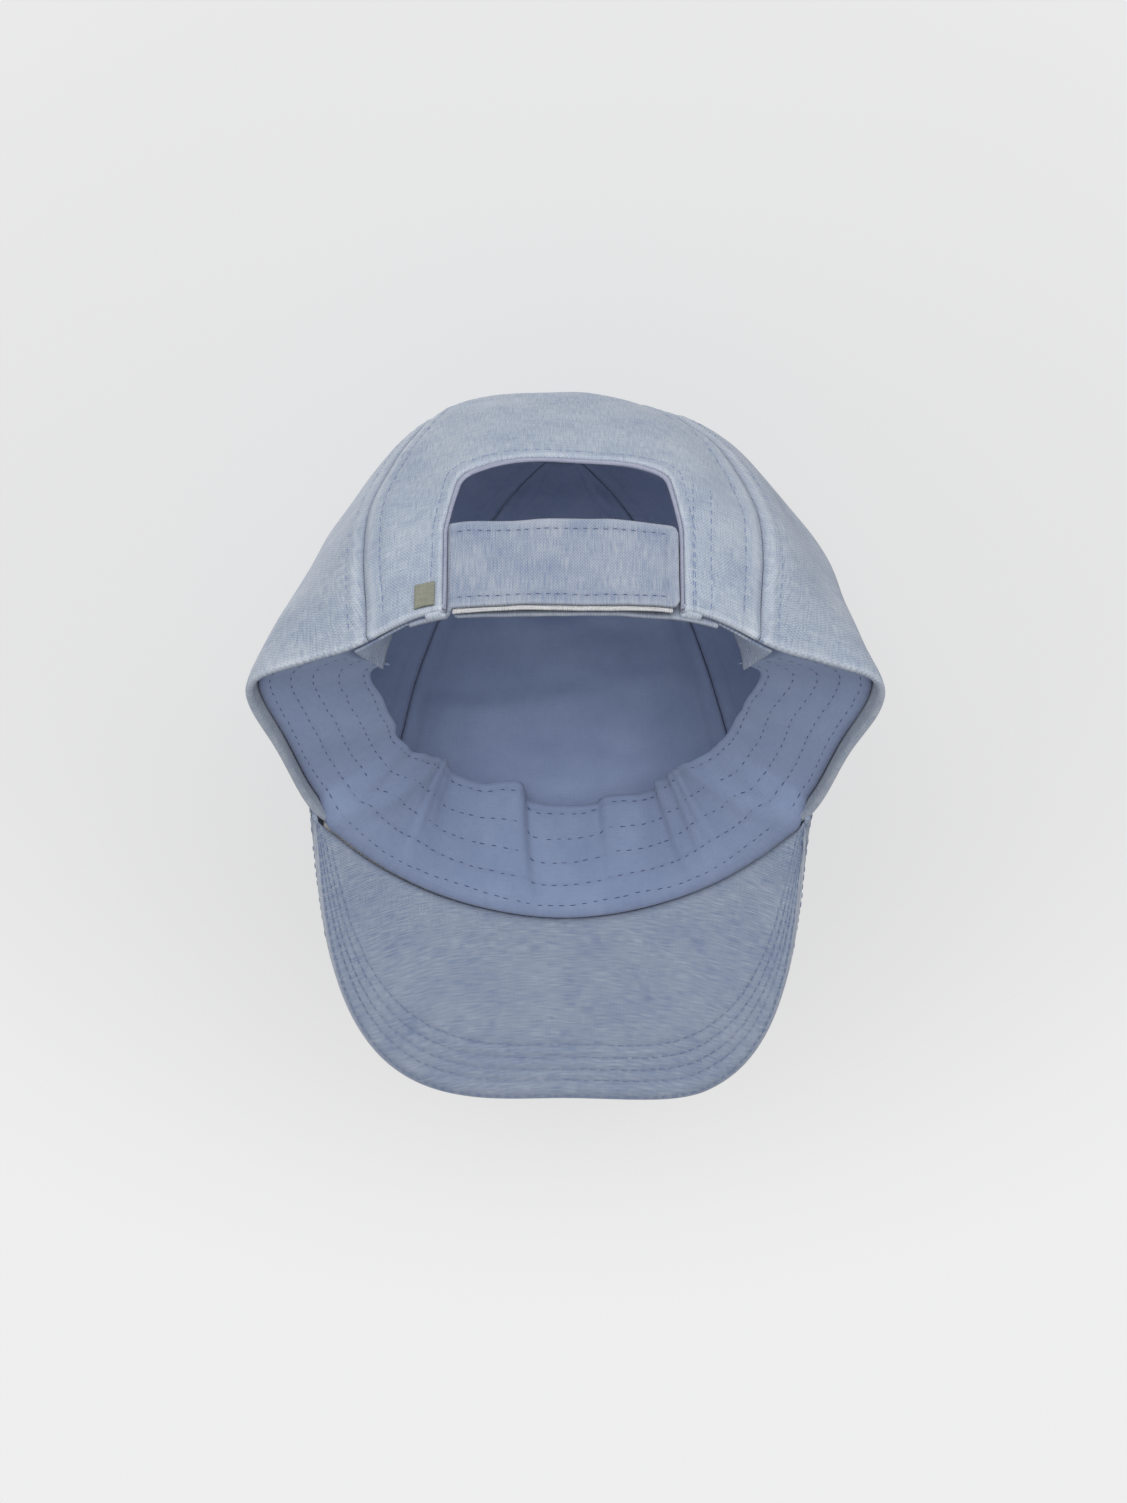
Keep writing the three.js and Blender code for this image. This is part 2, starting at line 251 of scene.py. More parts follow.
def cloth(name, cells, place, chart, finish, thick=0.8, painted_shading=None):
    bm = bmesh.new()
    bmesh.ops.create_grid(bm, x_segments=cells[0], y_segments=cells[1], size=0.5)
    u = np.array([v.co.x for v in bm.verts]) + 0.5
    v = np.array([v.co.y for v in bm.verts]) + 0.5
    flat = chart(u, v) / 1000
    layer = bm.loops.layers.uv.new("cloth")
    for face in bm.faces:
        for loop in face.loops:
            loop[layer].uv = flat[loop.vert.index]
    # each point stores how much painted shade (above zero) or painted highlight (below zero) its colour gets
    painted_shading_layer = bm.verts.layers.float.new("painted_shading")
    near = painted_shading(u, v) if painted_shading else 0 * u
    for vert, at, s in zip(bm.verts, place(u, v) / 1000, near):
        vert.co, vert[painted_shading_layer] = at, s
    return as_piece(name, bm, finish, thick)


MERIDIAN = np.linspace(0, 90, 91) * DEG
CLIMB = np.concatenate([[0], np.cumsum(np.linalg.norm(
    np.diff(crown_raw(1.3, MERIDIAN), axis=0), axis=1))])
TOP = crown_raw(0.0, 89.9 * DEG)


def crown_chart(th, ph, middle):
    r = np.linalg.norm((crown_raw(th, ph) - TOP)[..., :2], axis=-1)
    return np.stack([turn_gap(th / DEG, middle) * DEG * r, np.interp(ph, MERIDIAN, CLIMB)], -1)


def solve(flat, start, target):
    """The parameters at which flat(a, b) reaches a target, by Newton's method."""
    a, b = (np.array(s, float) for s in start)
    e = 1e-4
    for _ in range(14):
        p, pa, pb = flat(a, b), flat(a + e, b), flat(a, b + e)
        ja, jb, d = (pa - p) / e, (pb - p) / e, target - p
        det = ja[..., 0] * jb[..., 1] - jb[..., 0] * ja[..., 1]
        a = a + (d[..., 0] * jb[..., 1] - d[..., 1] * jb[..., 0]) / det
        b = b + (ja[..., 0] * d[..., 1] - ja[..., 1] * d[..., 0]) / det
    return a, b


def back_at(x, z):
    """Direction and height angle of the point of the back seen at x and z."""
    x, z = np.broadcast_arrays(np.asarray(x, float), np.asarray(z, float))
    return solve(lambda a, b: crown_raw(a, np.abs(b))[..., [0, 2]],
                 (np.arctan2(x, 74), ph_at(np.maximum(z, 0.5))), np.stack([x, z], -1))


def back_point(x, z, off):
    """A point of the back at x and z.  Below the lifted rim it carries on straight down."""
    th, ph = back_at(x, np.maximum(z, CLEAR_OF_RIM))
    p = crown(th, np.abs(ph), off)
    p[..., 2] += np.minimum(0, z - CLEAR_OF_RIM)
    return p


print("panel height along the cloth:", round(float(CLIMB[-1])), "mm")

# %% [markdown]
# ## Stitches
# A sewing machine leaves short, slightly raised dashes.  Each one is a tiny stretched
# icosphere, laid along its row and sunk a little into the cloth; one row is one mesh call
# after another into the same bmesh, so hundreds of stitches stay one light piece.

# %% stitch helper
rng = np.random.default_rng(7)


def sew(name, rows, finish, stitch=2.3, gap=1.1, thread=0.24):
    bm = bmesh.new()
    for points, normals in rows:
        steps = np.linalg.norm(np.diff(points, axis=0), axis=1)
        along = np.concatenate([[0], np.cumsum(steps)])
        count = max(1, int(along[-1] / (stitch + gap)))
        for k in range(count):
            s0 = (k + 0.15 + 0.06 * rng.normal()) * along[-1] / count
            s1 = s0 + stitch * (1 + 0.08 * rng.normal())
            ends = [Vector([np.interp(s, along, points[:, i]) for i in range(3)]) for s in (s0, s1)]
            up = Vector([np.interp(s0, along, normals[:, i]) for i in range(3)]).normalized()
            run = ends[1] - ends[0]
            x = run.normalized()
            y = up.cross(x).normalized()
            middle = (ends[0] + ends[1]) / 2 + y * 0.08 * rng.normal()
            turn = Matrix((x * run.length * 0.56, y * thread, x.cross(y) * thread * 0.8)).transposed()
            at = turn.to_4x4()
            at.translation = middle
            bmesh.ops.create_icosphere(bm, subdivisions=1, radius=1, matrix=Matrix.Scale(0.001, 4) @ at)
    made = len(bm.verts) // 12
    piece = as_piece(name, bm, finish)
    print(name, made, "stitches")
    return piece


def row_on(th, ph, off, inside=False):
    """A stitch row on the crown; inside=True faces it towards the head."""
    th, ph = np.broadcast_arrays(np.asarray(th, float), np.asarray(ph, float))
    n = crown_normal(th, ph)
    return crown(th, ph, off), -n if inside else n


print("stitch helper ready")

# %% [markdown]
# ## Finishes
# Chambray is a plain weave of one blue and one white yarn, so from a hand's breadth it is a
# soft light blue with short darker and lighter dashes, the slubs.  The weave is one node
# group: it is used by every cloth, each with its own two yarn colours, yarn count and
# amount of slub.  It reads the flat pattern in the UV map, so the grain bends with the cloth.

# %% weave node group
def socket(group, name, kind, way="INPUT", value=None):
    s = group.interface.new_socket(name=name, in_out=way, socket_type=kind)
    if value is not None:
        s.default_value = value
    return s


def maths(nodes, links, operation, a, b=None, c=None):
    n = nodes.new("ShaderNodeMath")
    n.operation = operation
    for i, x in enumerate((a, b, c)):
        if x is None:
            continue
        if isinstance(x, (int, float)):
            n.inputs[i].default_value = x
        else:
            links.new(x, n.inputs[i])
    return n.outputs[0]


def blend_colour(nodes, links, factor, a, b, how="MIX"):
    n = nodes.new("ShaderNodeMix")
    n.data_type, n.blend_type, n.clamp_factor = "RGBA", how, True
    for i, x in ((0, factor), (6, a), (7, b)):
        if isinstance(x, (int, float, tuple)):
            n.inputs[i].default_value = x
        else:
            links.new(x, n.inputs[i])
    return n.outputs[2]


def noise_at(nodes, links, vector, scale, detail=2.0, rough=0.5):
    n = nodes.new("ShaderNodeTexNoise")
    n.inputs["Scale"].default_value, n.inputs["Detail"].default_value = scale, detail
    n.inputs["Roughness"].default_value = rough
    links.new(vector, n.inputs["Vector"])
    return n.outputs[0]


def stretched(nodes, links, vector, scale):
    n = nodes.new("ShaderNodeVectorMath")
    n.operation = "MULTIPLY"
    n.inputs[1].default_value = scale
    links.new(vector, n.inputs[0])
    return n.outputs[0]


weave = bpy.data.node_groups.new("woven cloth", "ShaderNodeTree")
socket(weave, "Vector", "NodeSocketVector")
socket(weave, "Warp", "NodeSocketColor", value=(0.5, 0.6, 0.8, 1))
socket(weave, "Weft", "NodeSocketColor", value=(0.9, 0.9, 0.9, 1))
socket(weave, "Yarns per mm", "NodeSocketFloat", value=2.2)
socket(weave, "Warp slub", "NodeSocketFloat", value=0.3)
socket(weave, "Weft slub", "NodeSocketFloat", value=0.3)
socket(weave, "Fading", "NodeSocketFloat", value=0.2)
socket(weave, "Color", "NodeSocketColor", "OUTPUT")
socket(weave, "Height", "NodeSocketFloat", "OUTPUT")
N, L = weave.nodes, weave.links
enter, leave = N.new("NodeGroupInput"), N.new("NodeGroupOutput")
mm = stretched(N, L, enter.outputs["Vector"], (1000, 1000, 1000))
drift = N.new("ShaderNodeTexNoise")
drift.inputs["Scale"].default_value = 0.09
L.new(mm, drift.inputs["Vector"])
shifted = N.new("ShaderNodeVectorMath")
shifted.operation = "MULTIPLY_ADD"
L.new(drift.outputs["Color"], shifted.inputs[0])
shifted.inputs[1].default_value = (1.6, 1.6, 0)
L.new(mm, shifted.inputs[2])
parts = N.new("ShaderNodeSeparateXYZ")
L.new(shifted.outputs[0], parts.inputs[0])
turns = maths(N, L, "MULTIPLY", enter.outputs["Yarns per mm"], math.pi)
sx = maths(N, L, "SINE", maths(N, L, "MULTIPLY", parts.outputs[0], turns))
sy = maths(N, L, "SINE", maths(N, L, "MULTIPLY", parts.outputs[1], turns))
over = maths(N, L, "MULTIPLY_ADD", maths(N, L, "MULTIPLY", sx, sy), 0.5, 0.5)
warp_slub = noise_at(N, L, stretched(N, L, shifted.outputs[0], (3.4, 0.2, 1)), 1.0, 3.0, 0.6)
weft_slub = noise_at(N, L, stretched(N, L, shifted.outputs[0], (0.2, 3.4, 1)), 1.0, 3.0, 0.6)
uneven = noise_at(N, L, mm, 0.06, 3.0)
lean_w = maths(N, L, "MULTIPLY", maths(N, L, "SUBTRACT", warp_slub, 0.5), enter.outputs["Warp slub"])
lean_f = maths(N, L, "MULTIPLY", maths(N, L, "SUBTRACT", weft_slub, 0.5), enter.outputs["Weft slub"])
lean_u = maths(N, L, "MULTIPLY", maths(N, L, "SUBTRACT", uneven, 0.5), enter.outputs["Fading"])
share = maths(N, L, "ADD", maths(N, L, "MULTIPLY_ADD", maths(N, L, "SUBTRACT", over, 0.5), 0.45, 0.5),
              maths(N, L, "MULTIPLY", maths(N, L, "ADD", maths(N, L, "ADD", lean_w, lean_f), lean_u), 2.2))
L.new(blend_colour(N, L, share, enter.outputs["Warp"], enter.outputs["Weft"]), leave.inputs["Color"])
rise = maths(N, L, "ADD", maths(N, L, "ABSOLUTE", maths(N, L, "MULTIPLY", sx, sy)),
             maths(N, L, "MULTIPLY", maths(N, L, "ADD", warp_slub, weft_slub), 1.3))
L.new(rise, leave.inputs["Height"])
print("weave group:", len(N), "nodes")

# %% seam shading group
# Painted shade and highlight: where the mask is above zero the colour is painted darker, as the shadow in a
# crease or stitch groove, and where it is below zero it is painted paler, as a highlight on a ridge or edge.
painted_seam_shading = bpy.data.node_groups.new("painted shade and highlight", "ShaderNodeTree")
socket(painted_seam_shading, "Color", "NodeSocketColor")
socket(painted_seam_shading, "Seam", "NodeSocketFloat")
socket(painted_seam_shading, "Vector", "NodeSocketVector")
socket(painted_seam_shading, "Dark", "NodeSocketFloat", value=0.5)
socket(painted_seam_shading, "Result", "NodeSocketColor", "OUTPUT")
N, L = painted_seam_shading.nodes, painted_seam_shading.links
enter, leave = N.new("NodeGroupInput"), N.new("NodeGroupOutput")
broken = noise_at(N, L, stretched(N, L, enter.outputs["Vector"], (1000, 1000, 1000)), 0.5, 4.0)
near = maths(N, L, "MULTIPLY", enter.outputs["Seam"], maths(N, L, "MULTIPLY_ADD", broken, 1.2, 0.4))
deep = maths(N, L, "MULTIPLY", near, enter.outputs["Dark"])
shade = blend_colour(N, L, deep, enter.outputs["Color"], (0.10, 0.12, 0.20, 1))
pale = maths(N, L, "MULTIPLY", near, -0.3)
L.new(blend_colour(N, L, pale, shade, (0.80, 0.83, 0.88, 1)), leave.inputs["Result"])
print("painted shade and highlight group:", len(N), "nodes")


# %% cloth finishes
def cloth_finish(name, warp, weft, yarns, slubs, fading, rough=0.9, bump=0.25, dark=0.5):
    m = bpy.data.materials.new(name)
    m.use_nodes = True
    nodes, links = m.node_tree.nodes, m.node_tree.links
    shader = nodes["Principled BSDF"]
    shader.inputs["Specular IOR Level"].default_value = 0.2
    shader.inputs["Sheen Weight"].default_value = 0.12
    shader.inputs["Sheen Roughness"].default_value = 0.6
    uv = nodes.new("ShaderNodeUVMap")
    uv.uv_map = "cloth"
    cloth_nodes = nodes.new("ShaderNodeGroup")
    cloth_nodes.node_tree = weave
    links.new(uv.outputs[0], cloth_nodes.inputs["Vector"])
    for label, value in (("Warp", (*warp, 1)), ("Weft", (*weft, 1)), ("Yarns per mm", yarns),
                         ("Warp slub", slubs[0]), ("Weft slub", slubs[1]), ("Fading", fading)):
        cloth_nodes.inputs[label].default_value = value
    # the cloth colour is darkened and lightened here by the stored painted shade and painted highlight
    painted_shading = nodes.new("ShaderNodeAttribute")
    painted_shading.attribute_name = "painted_shading"
    edge = nodes.new("ShaderNodeGroup")
    edge.node_tree = painted_seam_shading
    edge.inputs["Dark"].default_value = dark
    links.new(cloth_nodes.outputs["Color"], edge.inputs["Color"])
    links.new(painted_shading.outputs["Fac"], edge.inputs["Seam"])
    links.new(uv.outputs[0], edge.inputs["Vector"])
    links.new(edge.outputs["Result"], shader.inputs["Base Color"])
    fuzz = noise_at(nodes, links, stretched(nodes, links, uv.outputs[0], (1000, 1000, 1000)), 0.8, 3.0)
    links.new(maths(nodes, links, "MULTIPLY_ADD", fuzz, 0.2, rough - 0.1), shader.inputs["Roughness"])
    raise_ = nodes.new("ShaderNodeBump")
    raise_.inputs["Strength"].default_value, raise_.inputs["Distance"].default_value = bump, 0.0003
    links.new(cloth_nodes.outputs["Height"], raise_.inputs["Height"])
    links.new(raise_.outputs[0], shader.inputs["Normal"])
    return m


CHAMBRAY = cloth_finish("light blue chambray", (0.14, 0.19, 0.285), (0.42, 0.455, 0.50), 2.2,
                        (0.55, 0.45), 0.3, dark=0.32)
UNDER = cloth_finish("visor chambray", (0.12, 0.175, 0.30), (0.385, 0.43, 0.505), 2.2, (0.35, 0.9), 0.22)
STRAP_CLOTH = cloth_finish("strap chambray", (0.12, 0.165, 0.265), (0.34, 0.365, 0.405), 2.2,
                           (0.75, 0.25), 0.5)
BAND_CLOTH = cloth_finish("grey blue band cotton", (0.172, 0.226, 0.365), (0.265, 0.325, 0.48), 2.8,
                          (0.3, 0.35), 0.4, 0.92, 0.2)
# the lining is the band's cotton painted lighter and bluer, as painted light inside the shaded crown
LIGHTENED_LINING = cloth_finish("grey blue band cotton lightened for the lining", (0.215, 0.278, 0.445), (0.325, 0.395, 0.58), 2.8,
                      (0.3, 0.35), 0.4, 0.92, 0.2)
BIAS = cloth_finish("lavender grey bias strip", (0.17, 0.19, 0.29), (0.36, 0.37, 0.44), 2.2, (0.5, 0.4), 0.3)
print("cloth finishes ready")

# %% [markdown]
# ## Holding pieces to the model
# The whole cap is soft.  When the visor is pressed down, the front of the crown must give
# with it.  Here a piece that reaches down and forward past the visor seam only has its
# transform baked in; pieces outside that reach ride on the crown.

# %% holding helper
GIVE_FROM, GIVE_TO = 4.0, 40.0            # mm along the direction down and forward
GIVE = np.array([0, -1, -1]) / math.sqrt(2)


def hold(piece, nodes=()):
    reach = max(v.co.dot(Vector(GIVE)) for v in piece.data.vertices) * 1000
    if reach > GIVE_FROM:
        start, end = (tuple(GIVE * mm_down / 1000) for mm_down in (GIVE_FROM, GIVE_TO))
        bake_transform(piece)
        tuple(start)
        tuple(end)
    else:
        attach(piece, "crown")
    if nodes:
        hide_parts(*nodes)
    print(piece.name, len(piece.data.vertices), "points")
    return piece


# %% [markdown]
# ## The outer panels
# The crown is cut as a front panel, two sides and a back.  Each runs from the button down to
# the rim, rolls round the edge and ends inside as a hem, so the rim is a soft rounded fold
# and never a cut slab.  The hem is deep at the sides and shallow where the visor is sewn in.

# %% rolled rim
ROLL = 1.15                                # radius of the rim's fold


def hem_depth(th):
    a = np.abs(turn_gap(th / DEG, 0))
    return ROLL + 0.4 + 6.5 * smooth((114 - a) / 7)


def rim_rows(v, th):
    a, b = 0.05, 0.13
    roll = np.clip((v - a) / (b - a), 0, 1) * math.pi
    inner = ROLL + (hem_depth(th) - ROLL) * np.clip(1 - v / a, 0, 1)
    h = np.where(v < a, inner, ROLL - ROLL * np.sin(roll))
    low = float(ph_at(ROLL))
    up = low + (TIP * DEG - low) * np.clip((v - b) / (1 - b), 0, 1)
    front = smooth((np.abs(turn_gap(th / DEG, 0)) - 109) / 6)
    h = h + 0.9 * front
    return np.where(v < b, ph_at(np.maximum(h, 1e-6)), up), np.where(v < b, -ROLL - ROLL * np.cos(roll), 0)


def seam_painted_shading(th, ph):
    across = np.cos(np.minimum(ph, 80 * DEG)) ** RHO * 82 * DEG
    gaps = np.min([np.abs(turn_gap(th / DEG, s)) for s in SEAMS], axis=0) * across
    # painted shade in the crease of each crown seam and along its stitch row, painted highlight on the ridge
    # between
    crease = np.exp(-(gaps / 0.9) ** 2) - 0.35 * np.exp(-((gaps - 2.4) / 1.2) ** 2)
    return crease + 0.3 * np.exp(-((gaps - 5.6) / 0.5) ** 2)


def side_range(a, b):
    def at(u, ph):
        r = np.maximum(4, np.linalg.norm((crown_raw((a + b) / 2 * DEG, ph) - TOP)[..., :2], axis=-1))
        g = 0.12 / r
        return (b * DEG - g) * (1 - u) + (a * DEG + g) * u
    return at


def outer_panel(name, a, b, cells):
    at = side_range(a, b)

    def where(u, v):
        ph, off = rim_rows(v, (a + b) / 2 * DEG + (0.5 - u) * (b - a) * DEG)
        return at(u, ph), ph, off

    def place(u, v):
        th, ph, off = where(u, v)
        return crown(th, ph, off)

    def panel_painted_shading(u, v):
        th, ph, off = where(u, v)
        # painted highlight on the outer bend of the rolled rim, added to the seams' painted shade
        return seam_painted_shading(th, ph) - 0.6 * np.exp(-((v - 0.11) / 0.02) ** 2)

    return hold(cloth(name + "_cloth", cells, place, lambda u, v: crown_chart(*where(u, v)[:2], (a + b) / 2),
                      CHAMBRAY, 0.8, panel_painted_shading), [name])


outer_panel("front_panel", FRONT_SEAM, 360 - FRONT_SEAM, (96, 104))
outer_panel("left_side_panel", BACK_SEAM, FRONT_SEAM, (104, 104))
outer_panel("right_side_panel", -FRONT_SEAM, -BACK_SEAM, (104, 104))

# %% [markdown]
# The back panel has the arch cut out of it.  Its grid is a horseshoe: one direction follows
# the arch from leg to leg, the other runs outwards from the arch to the seams, so that the
# lip of the arch is a clean row of cells that can roll inwards like the rim.

# %% arch outline
ARCH = dict(half=32.6, top=28.9, h=51)


def bezier(p, c, q, n=12):
    t = np.linspace(0, 1, n)[:, None]
    p, c, q = (np.array(x, float) for x in (p, c, q))
    return p * (1 - t) ** 2 + 2 * c * t * (1 - t) + q * t * t


def arch_line(inset=0.0):
    """x and z down one side of the arch, from its top middle to the rim."""
    top, h, half = ARCH["top"] - inset, ARCH["h"] - inset, ARCH["half"] - inset
    line = np.concatenate([
        bezier((0, h + 0.4), (15.5, h + 0.4), (top - 4, h - 3.4)),
        bezier((top - 4, h - 3.4), (top - 0.1, h - 4.8), (top + 0.7, h - 9))[1:],
        bezier((top + 0.7, h - 9), ((top + half) / 2 + 0.5, 34), (half, 26))[1:],
        bezier((half, 26), (half, 13), (half, 0))[1:]])
    run = np.concatenate([[0], np.cumsum(np.linalg.norm(np.diff(line, axis=0), axis=1))])
    return line, run


def arch_point(q, inset=0.0):
    line, run = arch_line(inset)
    return np.interp(q * run[-1], run, line[:, 0]), np.interp(q * run[-1], run, line[:, 1])


q_table = np.linspace(0, 1, 240)
arch_x, arch_z = arch_point(q_table)
th_table, ph_table = back_at(arch_x, np.maximum(arch_z, CLEAR_OF_RIM))
ph_table = ph_table * np.clip(arch_z / CLEAR_OF_RIM, 0, 1)      # the legs run on down to the rim
print("arch half line:", round(float(arch_line()[1][-1])), "mm")


# %% back panel
def arch_angles(q):
    return np.interp(q, q_table, th_table), np.interp(q, q_table, ph_table)


def seam_angles(q):
    tip = 0.05
    th = BACK_SEAM * DEG * np.clip(q / tip, 0, 1)
    climb = np.clip((q - tip) / (1 - tip), 0, 1)
    up = np.interp(TIP * DEG, MERIDIAN, CLIMB) * (1 - climb ** 0.8)
    ph = np.interp(up, CLIMB, MERIDIAN)
    return th, ph


LIP = 0.75                                 # radius of the arch's rolled lip


def back_where(u, v):
    w, side = np.abs(2 * u - 1), np.where(u < 0.5, 1.0, -1.0)
    q, under = np.clip(w / 0.92, 0, 1), np.clip((w - 0.92) / 0.08, 0, 1)
    (ti, pi), (to, po) = arch_angles(q), seam_angles(q)
    low = float(ph_at(ROLL))
    lift = low * smooth((q - 0.75) / 0.25)
    pi, po = np.maximum(pi, lift), np.maximum(po, low)
    a, b = 0.07, 0.17
    roll = np.clip((v - a) / (b - a), 0, 1) * math.pi
    span = np.linalg.norm(crown_raw(ti, pi) - crown_raw(to, po), axis=-1)
    d = np.where(v < a, LIP + 4.5 * (1 - v / a), LIP - LIP * np.sin(roll))
    d = np.where(v < b, d, LIP + (span - LIP - 0.12) * (v - b) / (1 - b)) / span
    th, ph = ti + (to - ti) * d, pi + (po - pi) * d
    off = np.where(v < b, -LIP - LIP * np.cos(roll), 0.0)
    turn = np.clip(under / 0.6, 0, 1) * math.pi
    h = np.where(under > 0.6, ROLL + 6 * (under - 0.6) / 0.4, ROLL - ROLL * np.sin(turn))
    ph = np.where(under > 0, ph_at(np.maximum(h, 1e-6)), ph)
    off = off + np.where(under > 0, -ROLL + ROLL * np.cos(turn), 0)
    return side * th, ph, off, d * span, w


def back_place(u, v):
    th, ph, off, _, _ = back_where(u, v)
    return crown(th, ph, off)


def back_painted_shading(u, v):
    th, ph, off, d, w = back_where(u, v)
    # painted shade along the arch's stitch row, painted highlight on the arch's lip and on the rolled rim
    lip = 0.4 * np.exp(-((d - 2.7) / 0.5) ** 2) - 0.4 * np.exp(-((d - 0.6) / 0.8) ** 2)
    rim = -0.6 * np.exp(-((w - 0.935) / 0.015) ** 2)
    return seam_painted_shading(th, ph) + np.where(v > 0.1, lip, 0) + rim


hold(cloth("back_panel_cloth", (236, 60), back_place, lambda u, v: crown_chart(*back_where(u, v)[:2], 0),
           CHAMBRAY, 0.8, back_painted_shading), ["back_panel"])

# %% [markdown]
# ## The lining
# The same four shapes in a plain cotton, a little slacker than the outside, so it bags
# inwards in broad soft folds.  Its seams turn inwards and show as thin raised lines.

# %% linings
def sag(th, ph):
    p = crown_raw(th, ph)
    loose = smooth((ph / DEG - 12) / 14) * smooth((86 - ph / DEG) / 12)
    soft = 0.5 + 0.5 * wave(p * np.array([1, 1, 1.9]), 30, 5)
    small = np.abs(wave(p * np.array([1, 1, 1.5]), 12, 6))
    arcs = 0.5 + 0.5 * np.sin(ph / DEG * 0.42 + 1.6 * np.sin(th * 1.5) + 2.2 * wave(p, 60, 8))
    return -loose * (3.0 * soft + 1.1 * small + 1.7 * arcs ** 3)


def lining_piece(name, a, b, cells):
    at = side_range(a, b)

    def where(u, v):
        ph = (4.5 + (TIP - 4.5) * v) * DEG
        return at(u, ph), ph

    def place(u, v):
        th, ph = where(u, v)
        ease = 0.7 * (1 - smooth((ph / DEG - 28) / 20))
        return crown(th, ph, -1.3 - ease + sag(th, ph) * smooth(np.minimum(u, 1 - u) * 9))

    def chart(u, v):
        return crown_chart(*where(u, v), (a + b) / 2)

    def painted_shading_mask(u, v):
        # painted shade along the lining seams and growing towards the top of the crown, where the inside lies
        # in deep shade
        return 0.7 * np.maximum(0, seam_painted_shading(*where(u, v))) + 0.4 * smooth(v * 2.2 - 1.2)

    return hold(cloth(name + "_cloth", cells, place, chart, LIGHTENED_LINING, 0.5, painted_shading_mask), [name])


lining_piece("front_lining", FRONT_SEAM, 360 - FRONT_SEAM, (80, 84))
lining_piece("left_side_lining", BACK_SEAM, FRONT_SEAM, (84, 84))
lining_piece("right_side_lining", -FRONT_SEAM, -BACK_SEAM, (84, 84))


def back_lining_where(u, v):
    side, q = np.where(u < 0.5, 1.0, -1.0), np.abs(2 * u - 1)
    (ti, pi), (to, po) = arch_angles(q), seam_angles(q)
    d = 0.03 + 0.96 * v
    return side * (ti + (to - ti) * d), np.maximum(0.8 * DEG, pi + (po - pi) * d)


def back_lining_place(u, v):
    th, ph = back_lining_where(u, v)
    return crown(th, ph, -2.9 + 0.9 * smooth(v * 3) + 0.6 * sag(th, ph) * smooth(v * 4) * smooth((1 - v) * 6))


hold(cloth("back_lining_cloth", (150, 40), back_lining_place,
           lambda u, v: crown_chart(*back_lining_where(u, v), 0), LIGHTENED_LINING, 0.5), ["back_lining"])

# %% [markdown]
# ## The sweatband
# A strip of lining cotton about 30 mm wide is sewn round the rim and stands up freely
# inside.  Its free edge is longer than the space it has, so at the front it falls into
# a few sharp pleats and at the sides it leans in.  A pleat is a step in the offset: the
# cloth on one side slides over the cloth on the other.

# %% sweatband shape
BAND_END = BACK_SEAM + (FRONT_SEAM - BACK_SEAM) / 16
BAND_TOP = 3 * TIP / 14
PLEATS = [  # direction, step in mm, width of the step in degrees, lean of the fold line
    (168.0, 7.6, 2.0, 5.0), (190.5, -2.6, 1.6, 1.0), (209.0, -3.6, 1.5, 3.0), (217.5, -2.2, 1.6, 0.0)]


def band_where(u, v):
    th = ((360 - BAND_END) * (1 - u) + BAND_END * u) * DEG
    a = np.abs(turn_gap(th / DEG, 0))
    front = smooth((a - 107) / 8)
    h_low = 4.4 * (1 - front) + 0.3
    notch = np.exp(-((th / DEG - 181) / 11) ** 2) * 2.0
    wave_edge = 0.8 * np.sin(th * 9 + 1) * (1 - front) + 0.6 * np.sin(th * 17)
    top = BAND_TOP * DEG * (1 - 0.42 * band_fall(th)) - (notch + 0.35 * wave_edge) * 0.35 * DEG
    top = top + 3.2 * DEG * np.exp(-((th / DEG - 134) / 15) ** 2)   # the flap beside the big pleat
    low = ph_at(h_low)
    return th, low + (top - low) * v, front


def band_fall(th):
    a = np.abs(turn_gap(th / DEG, 0))
    return smooth((168 - a) / 46) * smooth((a - 41) / 13)


def band_lean(th, v):
    """how far the band has fallen inwards, mm"""
    d = th / DEG
    step = 0 * th
    for at, out, wide, slant in PLEATS:
        line = at + slant * (1 - v)
        edge = 1 / (1 + np.exp(-(d - line) / (wide * 0.28)))
        side = (1 - edge) if out > 0 else edge
        step = step + abs(out) * side * np.exp(-((d - line) / 17) ** 2) * v ** 1.2
    ripple = 1.3 * wave(np.stack([d * 1.3, v * 14, 0 * d], -1), 11, 9) * smooth(v * 1.6)
    crease = 1.5 * np.exp(-((d - 112 - 22 * v) / 3.6) ** 2) * smooth(v * 3) * smooth((1.2 - v) * 2)
    crease = crease + 1.5 * np.exp(-((d - 246 + 16 * v) / 3.4) ** 2) * smooth(v * 3) * smooth((1.2 - v) * 2)
    return (5 + 22 * band_fall(th)) * v ** 1.1 + step + ripple + crease


def inwards(p, d, across=1.0):
    """move points level towards the middle of the head opening, or with across=0 straight forward"""
    way = (p[..., :2] - np.array([0, 4.0])) * np.stack([across + 0 * p[..., 0], 1 + 0 * p[..., 0]], -1)
    p[..., :2] -= way / np.linalg.norm(way, axis=-1, keepdims=True) * np.asarray(d)[..., None]
    return p


def band_place(u, v, lift=0.0):
    th, ph, front = band_where(u, v)
    sewn = 2.8 * front * (1 - smooth(v / 0.12)) + 0.6 * (1 - smooth(v / 0.04)) * (1 - front)
    p = crown(th, ph, -3.3 + sewn)
    p = inwards(p, band_lean(th, v) - lift, smooth((np.abs(turn_gap(th / DEG, 0)) - 41) / 22))
    p[..., 2] -= 0.7 * front * (1 - smooth(v / 0.1))
    return p


def band_chart(u, v):
    return np.stack([u * 400, v * 31], -1)


